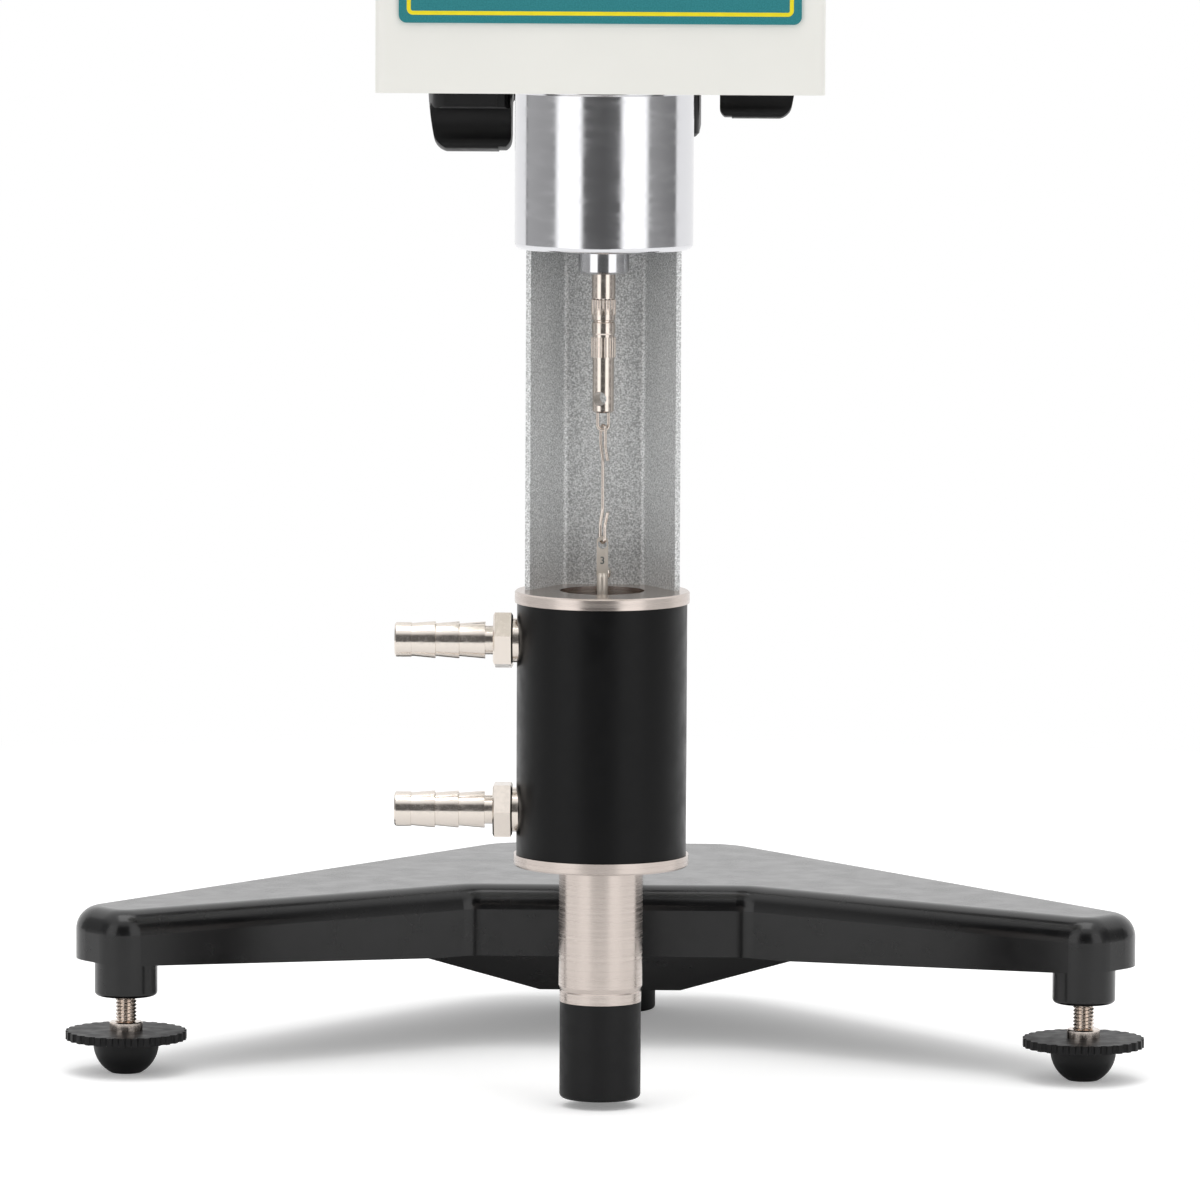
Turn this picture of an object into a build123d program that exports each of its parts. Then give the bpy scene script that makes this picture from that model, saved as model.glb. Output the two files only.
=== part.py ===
from build123d import *
import math
import os

# Digital rotational viscometer with a small-sample adapter on a levelling stand.
# Millimetres. The origin is the centre of the fixed rear foot on the floor,
# +Z is up, the front of the head faces -Y and +X is on the right of someone
# who reads the display.

# Stand layout
column_y = -40.0
axis_reach = 140.0
foot_x = 132.3
foot_y = -128.0

# Base casting
base_top = 45.6
hub_bottom = 26.0
keel_bottom = 13.0
hub_back = 25.0
hub_back_half_width = 36.0
hub_back_corner = 20.0
hub_front = -77.5
hub_front_half_width = 38.5
hub_front_corner = 9.0
toe_rear_out = 18.0
toe_rear_back = 5.9
toe_front_out = 1.8
toe_front_ahead = 11.8
toe_rear_corner = 12.0
toe_front_corner = 9.0
top_edge_round = 6.5
leg_rise = 5.5
leg_root_x = 52.0
keel_half_width = 62.0
keel_foot_half_width = 20.0
boss_radius = 8.7
boss_bottom = 21.5
rear_foot_radius = 12.0

# Column with its rack
column_radius = 9.0
column_top = 440.0
stub_radius = 6.0
nut_flats = 19.0
nut_height = 10.0
cap_radius = 11.0
cap_height = 10.0
rack_module = 1.0
rack_pitch_offset = 7.5
rack_start = 232.0
pressure_angle = 20.0
backlash = 0.24

# Levelling feet
stud_radius = 3.0
stud_top = 36.0
stud_collar_radius = 4.6
stud_collar_height = 2.5
wheel_radius = 16.75
wheel_height = 2.4
wheel_bottom = 9.3
scallop_count = 30
scallop_radius = 1.1
pad_radius = 9.0
pad_face_radius = 4.2
stud_pin_radius = 2.0
stud_pin_length = 3.0
leveller_up = 6.0

# Clamp block that rides on the column
block_half_width = 24.0
block_front_depth = 24.0
block_back_depth = 29.0
block_bottom = 256.0
block_top = 322.0
block_round = 5.0
bush_wall = 2.0
pinion_teeth = 14
pinion_width = 12.0
pinion_z = 271.0
pinion_shaft_radius = 4.0
pinion_boss_radius = 7.0
lift_knob_inner_x = 29.6
lift_knob_radius = 21.5
lift_knob_width = 23.8
lock_z = 280.0
lock_knob_inner_x = 29.6
lock_knob_radius = 19.9
lock_knob_width = 21.9
lock_knob_turn = 6.4
lock_screw_radius = 4.0
bar_radius = 7.0
bar_z = 302.0

# Head
head_width = 118.0
head_front_reach = 58.0
head_depth = 135.0
head_bottom = 277.0
head_height = 173.0
head_wall = 2.5
head_edge = 2.0
rear_cover_depth = 14.0
cover_screw_radius = 2.0

# Front panel, display and keys
panel_width = 105.5
panel_height = 138.0
panel_lift = 18.5
panel_thickness = 0.8
panel_corner = 2.1
window_width = 72.0
window_height = 38.0
window_z = 400.0
key_width = 18.0
key_height = 12.0
key_proud = 0.7
key_plate = 1.1
key_stem_radius = 2.2
key_pitch_x = 28.0
key_pitch_z = 20.0
key_z = 336.0
board_gap = 9.0

# Sockets in the rear cover
socket_rise = 46.0
socket_height = 20.0
inlet_inset = 27.0
inlet_width = 28.0
inlet_depth = 16.0
inlet_rim = 4.0
inlet_rim_height = 3.0
inlet_wall = 2.0
inlet_corner = 4.0
switch_inset = 32.5
switch_width = 13.0
switch_depth = 14.0
switch_wall = 1.5
rocker_half_height = 7.6
rocker_pivot_depth = 4.0
rocker_pin_radius = 1.2
rocker_tilt = 8.0
serial_inset = 15.0
serial_width = 12.0
serial_height = 24.0
serial_depth = 9.0
serial_pin_pitch = 2.7
rim_thickness = 2.0

# Inside the head
chassis_rise = 42.5
chassis_side_gap = 6.5
chassis_back_gap = 5.0
chassis_plate_thickness = 3.0
pillar_radius = 4.0
pillar_inset = 8.0
motor_radius = 25.0
motor_height = 24.0
pivot_shaft_radius = 2.0
pivot_shaft_rise = 26.5
encoder_radius = 24.0
encoder_rise = 16.5
encoder_slots = 36
spring_turns = 4
bearing_radius = 6.5
bearing_height = 5.0
main_board_height = 98.0
main_board_rise = 63.0
main_board_side_gap = 12.5
board_thickness = 1.6

# Guard, pivot and coupling under the head
flange_radius = 29.0
flange_thickness = 2.2
guard_radius = 24.0
guard_wall = 2.0
guard_bottom = 232.6
guard_edge = 1.6
spigot_depth = 11.0
pivot_cup_radius = 6.85
pivot_cup_bottom = 226.0
pivot_cup_bore = 4.4
coupling_neck_radius = 3.17
coupling_body_radius = 2.9
coupling_bottom = 188.5
cross_hole_radius = 1.9
cross_hole_turn = 22.0
eye_drop = 5.2
eye_half_width = 1.45
wire_radius = 0.45

# Hook link and measuring spindle
hook_gap = 0.3
hook_turn = 30.0
tag_hole_z = 152.8
tag_hole_radius = 1.25
tag_width = 3.1
tag_thickness = 1.0
tag_top = 155.0
tag_bottom = 144.4
rod_radius = 1.5
bob_radius = 5.88
bob_top = 86.0
bob_length = 33.0

# Water jacket, channel and sample chamber
jacket_radius = 22.95
jacket_ring_radius = 23.6
jacket_ring_height = 3.1
jacket_bottom = 65.8
jacket_top = 140.3
sleeve_radius = 12.9
chamber_radius = 11.3
chamber_bore = 9.525
chamber_gap = 0.1
chamber_bottom = 28.7
chamber_step_z = 33.0
chamber_head_gap = 4.0
cap_bottom = 2.3
chamber_cap_radius = 11.0
cap_plug_height = 7.0
channel_back_half = 11.4
channel_back_y = 17.0
channel_front_half = 20.2
channel_wall = 1.5
channel_bend = 3.0
channel_top = 262.0
channel_screw_radius = 2.0
barb_span = 46.0
barb_crest_radius = 5.0
barb_root_radius = 3.9
barb_bore = 2.8
barb_pitch = 6.6
barb_count = 4
barb_seat_length = 1.6
barb_middle_rise = 0.6
barb_hex_flats = 14.0
barb_hex_height = 5.3
barb_seat_radius = 6.0
barb_neck = 2.2

# Fits
running_fit = 0.05
seat_gap = 0.3
knob_gap = 0.6

axis_y = column_y - axis_reach
head_front = axis_y - head_front_reach
head_back = head_front + head_depth
head_top = head_bottom + head_height
floor_plate_top = head_bottom + head_wall
chassis_z = floor_plate_top + chassis_rise
pivot_shaft_top = floor_plate_top + pivot_shaft_rise
encoder_z = floor_plate_top + encoder_rise
pinion_radius = rack_module * pinion_teeth / 2
pinion_y = column_y + rack_pitch_offset + pinion_radius
socket_z = head_bottom + socket_rise
inlet_x = head_width / 2 - inlet_inset
switch_x = head_width / 2 - switch_inset
serial_x = head_width / 2 - serial_inset
rocker_y = head_back - rocker_pivot_depth
upward = (Align.CENTER, Align.CENTER, Align.MIN)


def rod(radius, low, high):
    """A cylinder on the Z axis between two heights."""
    return Pos(0, 0, low) * Cylinder(radius, high - low, align=upward)


def ring(outer, inner, low, high):
    """A tube on the Z axis between two heights."""
    return rod(outer, low, high) - rod(inner, low - 1, high + 1)


def rod_x(radius, start, end, y, z):
    """A cylinder along X between two places."""
    return Pos(start, y, z) * Rot(0, 90, 0) * Cylinder(radius, end - start, align=upward)


def rod_y(radius, start, end, x, z):
    """A cylinder along Y between two places."""
    return Pos(x, start, z) * Rot(-90, 0, 0) * Cylinder(radius, end - start, align=upward)


def block(x_span, y_span, z_span):
    """A box between three pairs of coordinates."""
    size = [high - low for low, high in (x_span, y_span, z_span)]
    centre = [(high + low) / 2 for low, high in (x_span, y_span, z_span)]
    return Pos(*centre) * Box(*size)


def hexagon(flats, low, high):
    """A hexagonal prism on the Z axis, measured across its flats."""
    profile = RegularPolygon(flats / 2, 6, major_radius=False)
    return Pos(0, 0, low) * extrude(profile, high - low)


def revolved(points):
    """A solid of revolution about Z from radius and height pairs."""
    profile = make_face(Polyline(*[(radius, 0, height) for radius, height in points], close=True))
    return revolve(profile, Axis.Z)


def on_axis(shape):
    return Pos(0, axis_y, 0) * shape


def on_column(shape):
    return Pos(0, column_y, 0) * shape


def mirrored(shape):
    return mirror(shape, Plane.YZ)


def base_outline():
    """Plan of the casting: a hub and two legs that taper to rounded toes."""
    hub_back_point = (hub_back_half_width, hub_back)
    toe_rear = (foot_x + toe_rear_out, foot_y + toe_rear_back)
    toe_front = (foot_x + toe_front_out, foot_y - toe_front_ahead)
    hub_front_point = (hub_front_half_width, hub_front)
    corners = [
        (hub_back_point, hub_back_corner),
        (toe_rear, toe_rear_corner),
        (toe_front, toe_front_corner),
        (hub_front_point, hub_front_corner),
    ]
    points = [(0, hub_back)] + [point for point, radius in corners] + [(0, hub_front)]
    half = make_face(Polyline(*points, close=True))
    for point, radius in corners:
        corner = half.vertices().sort_by_distance(point + (0,))[0]
        half = fillet(corner, radius)
    return half


def leg_relief():
    """Wedge under one leg, so that the leg thins towards its toe."""
    reach = math.hypot(foot_x - leg_root_x, foot_y - hub_front) + toe_rear_out + 20
    lean = math.degrees(math.atan2(foot_y - hub_front, foot_x - leg_root_x))
    rise = leg_rise * reach / (reach - 20)
    wedge = make_face(Polyline((0, 0), (reach, rise), (reach, -5), (0, -5), close=True))
    prism = extrude(Plane.XZ * wedge, 90, both=True)
    return Pos(leg_root_x, hub_front, hub_bottom) * Rot(0, 0, lean) * prism


def base_casting():
    half = base_outline()
    plate = extrude(half, base_top - hub_bottom) + extrude(mirrored(half), base_top - hub_bottom)
    plate = Pos(0, 0, hub_bottom) * plate
    plate = fillet(plate.faces().sort_by(Axis.Z)[-1].edges(), top_edge_round)
    plate -= leg_relief()
    plate -= mirrored(leg_relief())
    shoulder = (hub_front + hub_back) / 2
    upper = [
        (-keel_half_width, hub_front + 7), (keel_half_width, hub_front + 7),
        (keel_half_width, shoulder), (hub_back_half_width - 6, hub_back - 9),
        (6 - hub_back_half_width, hub_back - 9), (-keel_half_width, shoulder),
    ]
    lower = [
        (-keel_foot_half_width, hub_front + 24), (keel_foot_half_width, hub_front + 24),
        (keel_foot_half_width, shoulder + 12), (keel_foot_half_width - 5, hub_back - 10),
        (5 - keel_foot_half_width, hub_back - 10), (-keel_foot_half_width, shoulder + 12),
    ]
    keel = loft([
        Pos(0, 0, keel_bottom) * make_face(Polyline(*lower, close=True)),
        Pos(0, 0, hub_bottom + 1) * make_face(Polyline(*upper, close=True)),
    ])
    casting = plate + keel
    for side in (-1, 1):
        boss = rod(boss_radius, boss_bottom, base_top - top_edge_round - 2)
        boss = fillet(boss.edges().sort_by(Axis.Z)[0], 1.2)
        casting += Pos(side * foot_x, foot_y, 0) * boss
    for side in (-1, 1):
        thread = rod(stud_radius + running_fit, boss_bottom - 1, stud_top + leveller_up + 1)
        casting -= Pos(side * foot_x, foot_y, 0) * thread
    casting -= on_column(rod(stub_radius, keel_bottom - 1, base_top + 1))
    casting -= on_column(rod(nut_flats / 2 + 3, keel_bottom - 1, keel_bottom + nut_height))
    return casting


def rear_foot():
    foot = rod(rear_foot_radius, 0, keel_bottom)
    return fillet(foot.edges().sort_by(Axis.Z)[0], 1.0)


def rack_groove(z):
    """One straight-sided space of the rack, centred on a height."""
    slope = math.tan(math.radians(pressure_angle))
    half_pitch_space = math.pi * rack_module / 4 + backlash / 4
    root = rack_pitch_offset - 1.25 * rack_module
    tip = rack_pitch_offset + 3 * rack_module
    root_half = half_pitch_space - 1.25 * rack_module * slope
    tip_half = half_pitch_space + 3 * rack_module * slope
    points = [(root, z - root_half), (tip, z - tip_half), (tip, z + tip_half), (root, z + root_half)]
    space = make_face(Polyline(*[(0, y, height) for y, height in points], close=True))
    return extrude(space, column_radius + 1, both=True)


def column_rod():
    pitch = math.pi * rack_module
    shaft = rod(column_radius, base_top, column_top)
    tip_flat = rack_pitch_offset + rack_module
    count = int((column_top - cap_height - 6 - rack_start) / pitch)
    first = pinion_z - pitch * int((pinion_z - rack_start) / pitch)
    grooves = [rack_groove(first + index * pitch) for index in range(count)]
    rack_low = first - pitch
    rack_high = first + count * pitch
    shaft -= block((-column_radius, column_radius), (tip_flat, column_radius + 1), (rack_low, rack_high))
    shaft -= grooves
    return on_column(shaft + rod(stub_radius, keel_bottom + 1, base_top + 1))


def column_nut():
    nut = hexagon(nut_flats, keel_bottom, keel_bottom + nut_height)
    return on_column(nut - rod(stub_radius, keel_bottom - 1, keel_bottom + nut_height + 1))


def column_cap():
    cap = rod(cap_radius, column_top - cap_height + 2, column_top + 4)
    cap = fillet(cap.edges().group_by(Axis.Z)[-1], 2.5)
    return on_column(cap - rod(column_radius, column_top - cap_height, column_top))


def levelling_screw(side):
    collar_bottom = wheel_bottom + wheel_height
    screw = rod(stud_radius, collar_bottom, stud_top)
    screw = chamfer(screw.edges().sort_by(Axis.Z)[-1], 0.8)
    screw += rod(stud_collar_radius, collar_bottom, collar_bottom + stud_collar_height)
    screw += rod(stud_pin_radius, wheel_bottom - stud_pin_length, collar_bottom + 1)
    return Pos(side * foot_x, foot_y, 0) * screw


def levelling_wheel(side):
    wheel = rod(wheel_radius, wheel_bottom, wheel_bottom + wheel_height)
    scallop = rod(scallop_radius, wheel_bottom - 1, wheel_bottom + wheel_height + 1)
    wheel -= [place * scallop for place in PolarLocations(wheel_radius + scallop_radius * 0.3, scallop_count)]
    wheel -= rod(stud_pin_radius, wheel_bottom - 1, wheel_bottom + wheel_height + 1)
    return Pos(side * foot_x, foot_y, 0) * wheel


def levelling_pad(side):
    """A round-bottomed swivel pad with a small flat that stands on the floor."""
    bulge = ThreePointArc((pad_face_radius, 0), (pad_radius * 0.87, wheel_bottom * 0.38), (pad_radius, wheel_bottom))
    outline = [
        Line((0, wheel_bottom), (0, 0)),
        Line((0, 0), (pad_face_radius, 0)),
        bulge,
        Line((pad_radius, wheel_bottom), (0, wheel_bottom)),
    ]
    pad = revolve(Plane.XZ * make_face(outline), Axis.Z)
    pad -= rod(stud_pin_radius + running_fit, wheel_bottom - stud_pin_length - 0.5, wheel_bottom + 1)
    return Pos(side * foot_x, foot_y, 0) * pad


def clamp_block():
    """Block round the column, with the pinion pocket, its boss and the two cross bores."""
    body = block(
        (-block_half_width, block_half_width),
        (-block_front_depth, block_back_depth),
        (block_bottom, block_top),
    )
    body = fillet(body.edges().filter_by(Axis.Z), block_round)
    body = chamfer(body.faces().filter_by(Axis.Z).edges(), 1.0)
    shaft_y = pinion_y - column_y
    pinion_boss_end = lift_knob_inner_x - knob_gap
    lock_boss_end = lock_knob_inner_x - knob_gap
    body += rod_x(pinion_boss_radius, -pinion_boss_end, -block_half_width + 1, shaft_y, pinion_z)
    body += rod_x(pinion_boss_radius, block_half_width - 1, lock_boss_end, 0, lock_z)
    body -= rod(column_radius + bush_wall, block_bottom - 1, block_top + 1)
    tooth_tip = pinion_radius + rack_module
    body -= rod_x(tooth_tip + 0.6, -pinion_width / 2 - 0.6, pinion_width / 2 + 0.6, shaft_y, pinion_z)
    body -= rod_x(pinion_shaft_radius + running_fit, -pinion_boss_end - 1, block_half_width - 6, shaft_y, pinion_z)
    body -= rod_x(lock_screw_radius + running_fit, 0, lock_boss_end + 1, 0, lock_z)
    body -= rod_y(bar_radius, -block_front_depth - 1, -column_radius - bush_wall, 0, bar_z)
    return on_column(body)


def guide_bush():
    """Bearing bush between the column and the block, cut away at the pinion and the lock screw."""
    bush = ring(column_radius + bush_wall, column_radius + running_fit, block_bottom, block_top)
    shaft_y = pinion_y - column_y
    tooth_tip = pinion_radius + rack_module
    bush -= rod_x(tooth_tip + 0.6, -pinion_width / 2 - 0.6, pinion_width / 2 + 0.6, shaft_y, pinion_z)
    bush -= rod_x(lock_screw_radius + running_fit, 0, block_half_width, 0, lock_z)
    return on_column(bush)


def mounting_bar():
    """Steel bar between block and head, forged on a foot that bolts down inside the head."""
    foot_back = head_back - rear_cover_depth - 4
    start = column_y - column_radius - bush_wall - 1
    bar = rod_y(bar_radius, foot_back - 4, start, 0, bar_z)
    foot = block((-15, 15), (foot_back - 22, foot_back), (floor_plate_top, bar_z + bar_radius))
    foot = fillet(foot.edges().filter_by(Axis.Y).group_by(Axis.Z)[-1], 5)
    return bar + foot


def involute(base_radius, angle):
    """A point of the involute of a circle."""
    x = base_radius * (math.cos(angle) + angle * math.sin(angle))
    y = base_radius * (math.sin(angle) - angle * math.cos(angle))
    return x, y


def pinion_profile():
    """Involute gear outline whose first tooth points along +X."""
    base_radius = pinion_radius * math.cos(math.radians(pressure_angle))
    root_radius = pinion_radius - 1.25 * rack_module
    tip_radius = pinion_radius + rack_module
    half_tooth = math.pi / (2 * pinion_teeth) - backlash / 4 / pinion_radius
    pitch_roll = math.sqrt((pinion_radius / base_radius) ** 2 - 1)
    pitch_turn = pitch_roll - math.atan(pitch_roll)
    tip_roll = math.sqrt((tip_radius / base_radius) ** 2 - 1)
    steps = 5
    flank = []
    for step in range(steps + 1):
        x, y = involute(base_radius, tip_roll * step / steps)
        radius = math.hypot(x, y)
        flank.append((radius, math.atan2(y, x) - pitch_turn - half_tooth))
    points = []
    for tooth in range(pinion_teeth):
        centre = 2 * math.pi * tooth / pinion_teeth
        lower = [(root_radius, flank[0][1])] + flank
        upper = [(radius, -angle) for radius, angle in reversed(lower)]
        for radius, angle in lower + upper:
            points.append((radius * math.cos(centre + angle), radius * math.sin(centre + angle)))
    return make_face(Polyline(*points, close=True))


def pinion_shaft():
    """Pinion and shaft in one piece, with one tooth pointing straight at the rack."""
    gear = extrude(pinion_profile(), pinion_width / 2, both=True)
    gear = Pos(0, pinion_y, pinion_z) * Rot(0, 90, 0) * Rot(0, 0, -90) * gear
    knob_end = lift_knob_inner_x + lift_knob_width * 0.6
    return gear + rod_x(pinion_shaft_radius, -knob_end, block_half_width - 7, pinion_y, pinion_z)


def star_knob(radius, width, shaft_radius):
    """Four-lobed knob along +X, its inner face on X 0 and one lobe pointing down."""
    profile = Circle(radius)
    scallop = Circle(radius * 0.314)
    profile -= [place * scallop for place in PolarLocations(radius * 0.907, 4, start_angle=45)]
    profile = fillet(profile.vertices(), radius * 0.1)
    lobes = extrude(profile, width)
    silhouette = [
        Line((0, 0), (radius * 0.86, 0)),
        ThreePointArc((radius * 0.86, 0), (radius * 0.96, width * 0.035), (radius, width * 0.13)),
        Line((radius, width * 0.13), (radius, width * 0.70)),
        ThreePointArc((radius, width * 0.70), (radius * 0.955, width * 0.86), (radius * 0.82, width * 0.93)),
        ThreePointArc((radius * 0.82, width * 0.93), (radius * 0.42, width * 0.985), (0, width)),
        Line((0, width), (0, 0)),
    ]
    envelope = revolve(Plane.XZ * make_face(silhouette), Axis.Z)
    knob = lobes & envelope
    knob -= ring(radius + 1, radius * 0.985, -1, width * 0.155)
    knob -= rod(shaft_radius, -1, width * 0.6)
    knob -= ring(radius * 0.44, radius * 0.38, width * 0.95, width + 1)
    return Rot(0, 90, 0) * knob


def lift_knob():
    knob = star_knob(lift_knob_radius, lift_knob_width, pinion_shaft_radius)
    return Pos(-lift_knob_inner_x, pinion_y, pinion_z) * mirrored(knob)


def lock_knob():
    knob = star_knob(lock_knob_radius, lock_knob_width, lock_screw_radius)
    return Pos(lock_knob_inner_x, column_y, lock_z) * Rot(lock_knob_turn, 0, 0) * knob


def lock_screw():
    """Clamping screw whose nose presses on the column."""
    start = column_radius + running_fit * 2
    end = lock_knob_inner_x + lock_knob_width * 0.6
    screw = rod_x(lock_screw_radius, start + 2, end, column_y, lock_z)
    nose = rod_x(lock_screw_radius - 1, start, start + 3, column_y, lock_z)
    hollow = on_column(rod(column_radius + running_fit, lock_z - 10, lock_z + 10))
    return screw + nose - hollow


def key_places():
    """Names and centres of the keys on the front panel: three over two."""
    return {
        "key_up": (-key_pitch_x, key_z + key_pitch_z / 2),
        "key_down": (-key_pitch_x, key_z - key_pitch_z / 2),
        "key_confirm": (0, key_z),
        "key_run": (key_pitch_x, key_z + key_pitch_z / 2),
        "key_stop": (key_pitch_x, key_z - key_pitch_z / 2),
    }


def key_blank(x, z, margin, front, back):
    """Rounded key outline at one place, extruded between two depths."""
    profile = RectangleRounded(key_width + 2 * margin, key_height + 2 * margin, 2.0 + margin)
    solid = extrude(Plane.XZ * profile, -(back - front))
    return Pos(x, front, z) * solid


def head_shell_blank():
    body = block(
        (-head_width / 2, head_width / 2),
        (head_front, head_back),
        (head_bottom, head_top),
    )
    edges = body.edges()
    rounded = edges.filter_by(Axis.Z) + edges.filter_by(Axis.Y).group_by(Axis.Z)[-1]
    rounded += edges.filter_by(Axis.X).group_by(Axis.Z)[-1]
    return fillet(rounded, head_edge)


def head_hollow():
    return block(
        (-head_width / 2 + head_wall, head_width / 2 - head_wall),
        (head_front + head_wall, head_back - head_wall),
        (head_bottom - 1, head_top - head_wall),
    )


def front_housing():
    """Painted front shell, open at its back and bottom."""
    split = head_back - rear_cover_depth
    shell = head_shell_blank() - head_hollow()
    shell -= block((-head_width, head_width), (split, head_back + 1), (head_bottom - 1, head_top + 1))
    half_window = window_width / 2
    shell -= block(
        (-half_window, half_window),
        (head_front - 1, head_front + head_wall + 1),
        (window_z - window_height / 2, window_z + window_height / 2),
    )
    for x, z in key_places().values():
        shell -= rod_y(key_stem_radius + 0.3, head_front - 1, head_front + head_wall + 1, x, z)
    shell -= on_axis(Pos(0, -level_offset(), 0) * rod(level_hole_radius(), head_top - 4, head_top + 1))
    return shell


def level_offset():
    """How far the bubble level stands in front of the measuring axis."""
    return head_front_reach * 0.55


def level_hole_radius():
    return 8.0


def rear_cover():
    """Shallow painted tray that closes the back, with vents and the openings of its sockets."""
    split = head_back - rear_cover_depth
    shell = head_shell_blank() - head_hollow()
    shell -= block((-head_width, head_width), (head_front - 1, split), (head_bottom - 1, head_top + 1))
    shell -= rod_y(bar_radius + seat_gap, split, head_back + 1, 0, bar_z)
    for column in (-1, 1):
        for row in range(8):
            slot = extrude(Plane.XZ * SlotOverall(30, 2.4), 10, both=True)
            shell -= Pos(column * 26, head_back, head_top - 22 - row * 6) * slot
    shell -= inlet_cut()
    shell -= switch_cut()
    shell -= socket_cut()
    for x, z in cover_screw_places():
        shell -= rod_y(cover_screw_radius, head_back - head_wall - 1, head_back + 1, x, z)
    return shell


def cover_screw_places():
    inset = 7.0
    x = head_width / 2 - inset
    return [(side * x, z) for side in (-1, 1) for z in (head_bottom + inset, head_top - inset)]


def cover_screws():
    screws = []
    for x, z in cover_screw_places():
        shank = rod_y(cover_screw_radius, head_back - 9, head_back, x, z)
        dome = rod_y(cover_screw_radius * 1.9, head_back, head_back + 1.8, x, z)
        dome = fillet(dome.edges().group_by(Axis.Y)[-1], 1.2)
        slot = block((x - 4, x + 4), (head_back + 0.9, head_back + 3), (z - 0.5, z + 0.5))
        screws.append(shank + dome - slot)
    return Compound(screws)


def inlet_cut():
    return cover_cut(-inlet_x, inlet_width, socket_height)


def switch_cut():
    return cover_cut(switch_x, switch_width, socket_height)


def socket_cut():
    return cover_cut(serial_x, serial_width, serial_height)


def cover_cut(x, width, height):
    """Straight opening through the rear cover for one socket."""
    return block(
        (x - width / 2, x + width / 2),
        (head_back - head_wall - 1, head_back + 1),
        (socket_z - height / 2, socket_z + height / 2),
    )


def power_inlet():
    """Three-pin appliance inlet, recessed in a flanged body."""
    half = inlet_width / 2
    half_height = socket_height / 2
    x = -inlet_x
    body = block(
        (x - half, x + half), (head_back - inlet_depth, head_back), (socket_z - half_height, socket_z + half_height)
    )
    rim_half = half + inlet_rim
    rim_half_height = half_height + inlet_rim_height
    rim = block(
        (x - rim_half, x + rim_half),
        (head_back, head_back + rim_thickness),
        (socket_z - rim_half_height, socket_z + rim_half_height),
    )
    rim = fillet(rim.edges().filter_by(Axis.Y), inlet_wall)
    well_half = half - inlet_wall
    well_half_height = half_height - inlet_wall - 0.5
    well = block(
        (x - well_half, x + well_half),
        (head_back - inlet_depth + inlet_wall + 1, head_back + rim_thickness + 1),
        (socket_z - well_half_height, socket_z + well_half_height),
    )
    well = chamfer(well.edges().filter_by(Axis.Y).group_by(Axis.Z)[0], inlet_corner)
    inlet = body + rim - well
    pin_root = head_back - inlet_depth + inlet_wall
    for pin_x, pin_z in ((x, socket_z + 3), (x - 6, socket_z - 3), (x + 6, socket_z - 3)):
        inlet += block((pin_x - 1, pin_x + 1), (pin_root, head_back - 4), (pin_z - 2, pin_z + 2))
    return inlet


def power_switch():
    """Frame of the rocker switch, with the bores of the rocker's pin."""
    half = switch_width / 2
    low = socket_z - socket_height / 2
    high = socket_z + socket_height / 2
    x = switch_x
    body = block((x - half, x + half), (head_back - switch_depth, head_back), (low, high))
    rim = block(
        (x - half - 2.5, x + half + 2.5), (head_back, head_back + rim_thickness), (low - 2.5, high + 2.5)
    )
    rim = fillet(rim.edges().filter_by(Axis.Y), 1.2)
    well = block(
        (x - half + switch_wall, x + half - switch_wall),
        (head_back - switch_depth + 4, head_back + rim_thickness + 1),
        (low + 1, high - 1),
    )
    bore = rod_x(rocker_pin_radius + running_fit, x - half - 1, x + half + 1, rocker_y, socket_z)
    return body + rim - well - bore


def power_rocker():
    """Rocker that tips about its cross pin; it rests tipped to its off side."""
    depth = rocker_y + rocker_pivot_depth + 1.6
    outline = [
        (rocker_y - 2.5, socket_z - 3), (rocker_y - 2.5, socket_z + 3),
        (depth, socket_z + rocker_half_height), (depth - 1.6, socket_z), (depth, socket_z - rocker_half_height),
    ]
    profile = make_face(Polyline(*[(0, y, z) for y, z in outline], close=True))
    half = switch_width / 2 - switch_wall - seat_gap - 0.1
    rocker = Pos(switch_x, 0, 0) * extrude(profile, half, both=True)
    pin_half = switch_width / 2 - 0.4
    rocker += rod_x(rocker_pin_radius, switch_x - pin_half, switch_x + pin_half, rocker_y, socket_z)
    return rocker.rotate(Axis((switch_x, rocker_y, socket_z), (1, 0, 0)), -rocker_tilt)


def data_socket():
    """Nine-pin serial socket with its two jack posts."""
    half = serial_width / 2
    half_height = serial_height / 2
    x = serial_x
    body = block(
        (x - half, x + half), (head_back - serial_depth, head_back), (socket_z - half_height, socket_z + half_height)
    )
    shell_half = half - 2
    shell_half_height = half_height - 4.6
    shell = block(
        (x - shell_half, x + shell_half),
        (head_back, head_back + 5.5),
        (socket_z - shell_half_height, socket_z + shell_half_height),
    )
    shell = fillet(shell.edges().filter_by(Axis.Y), 2.0)
    hollow = block(
        (x - shell_half + 0.8, x + shell_half - 0.8),
        (head_back + 1.5, head_back + 6),
        (socket_z - shell_half_height + 0.8, socket_z + shell_half_height - 0.8),
    )
    hollow = fillet(hollow.edges().filter_by(Axis.Y), 1.4)
    socket = body + shell - hollow
    for z in (socket_z - half_height + 2.4, socket_z + half_height - 2.4):
        socket += rod_y(2.2, head_back - 1, head_back + 4, x, z) - rod_y(1.2, head_back, head_back + 5, x, z)
    for row_x, count in ((x - 1.2, 5), (x + 1.2, 4)):
        for index in range(count):
            z = socket_z + (index - (count - 1) / 2) * serial_pin_pitch
            socket += rod_y(0.5, head_back + 1, head_back + 4.6, row_x, z)
    return socket


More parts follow.
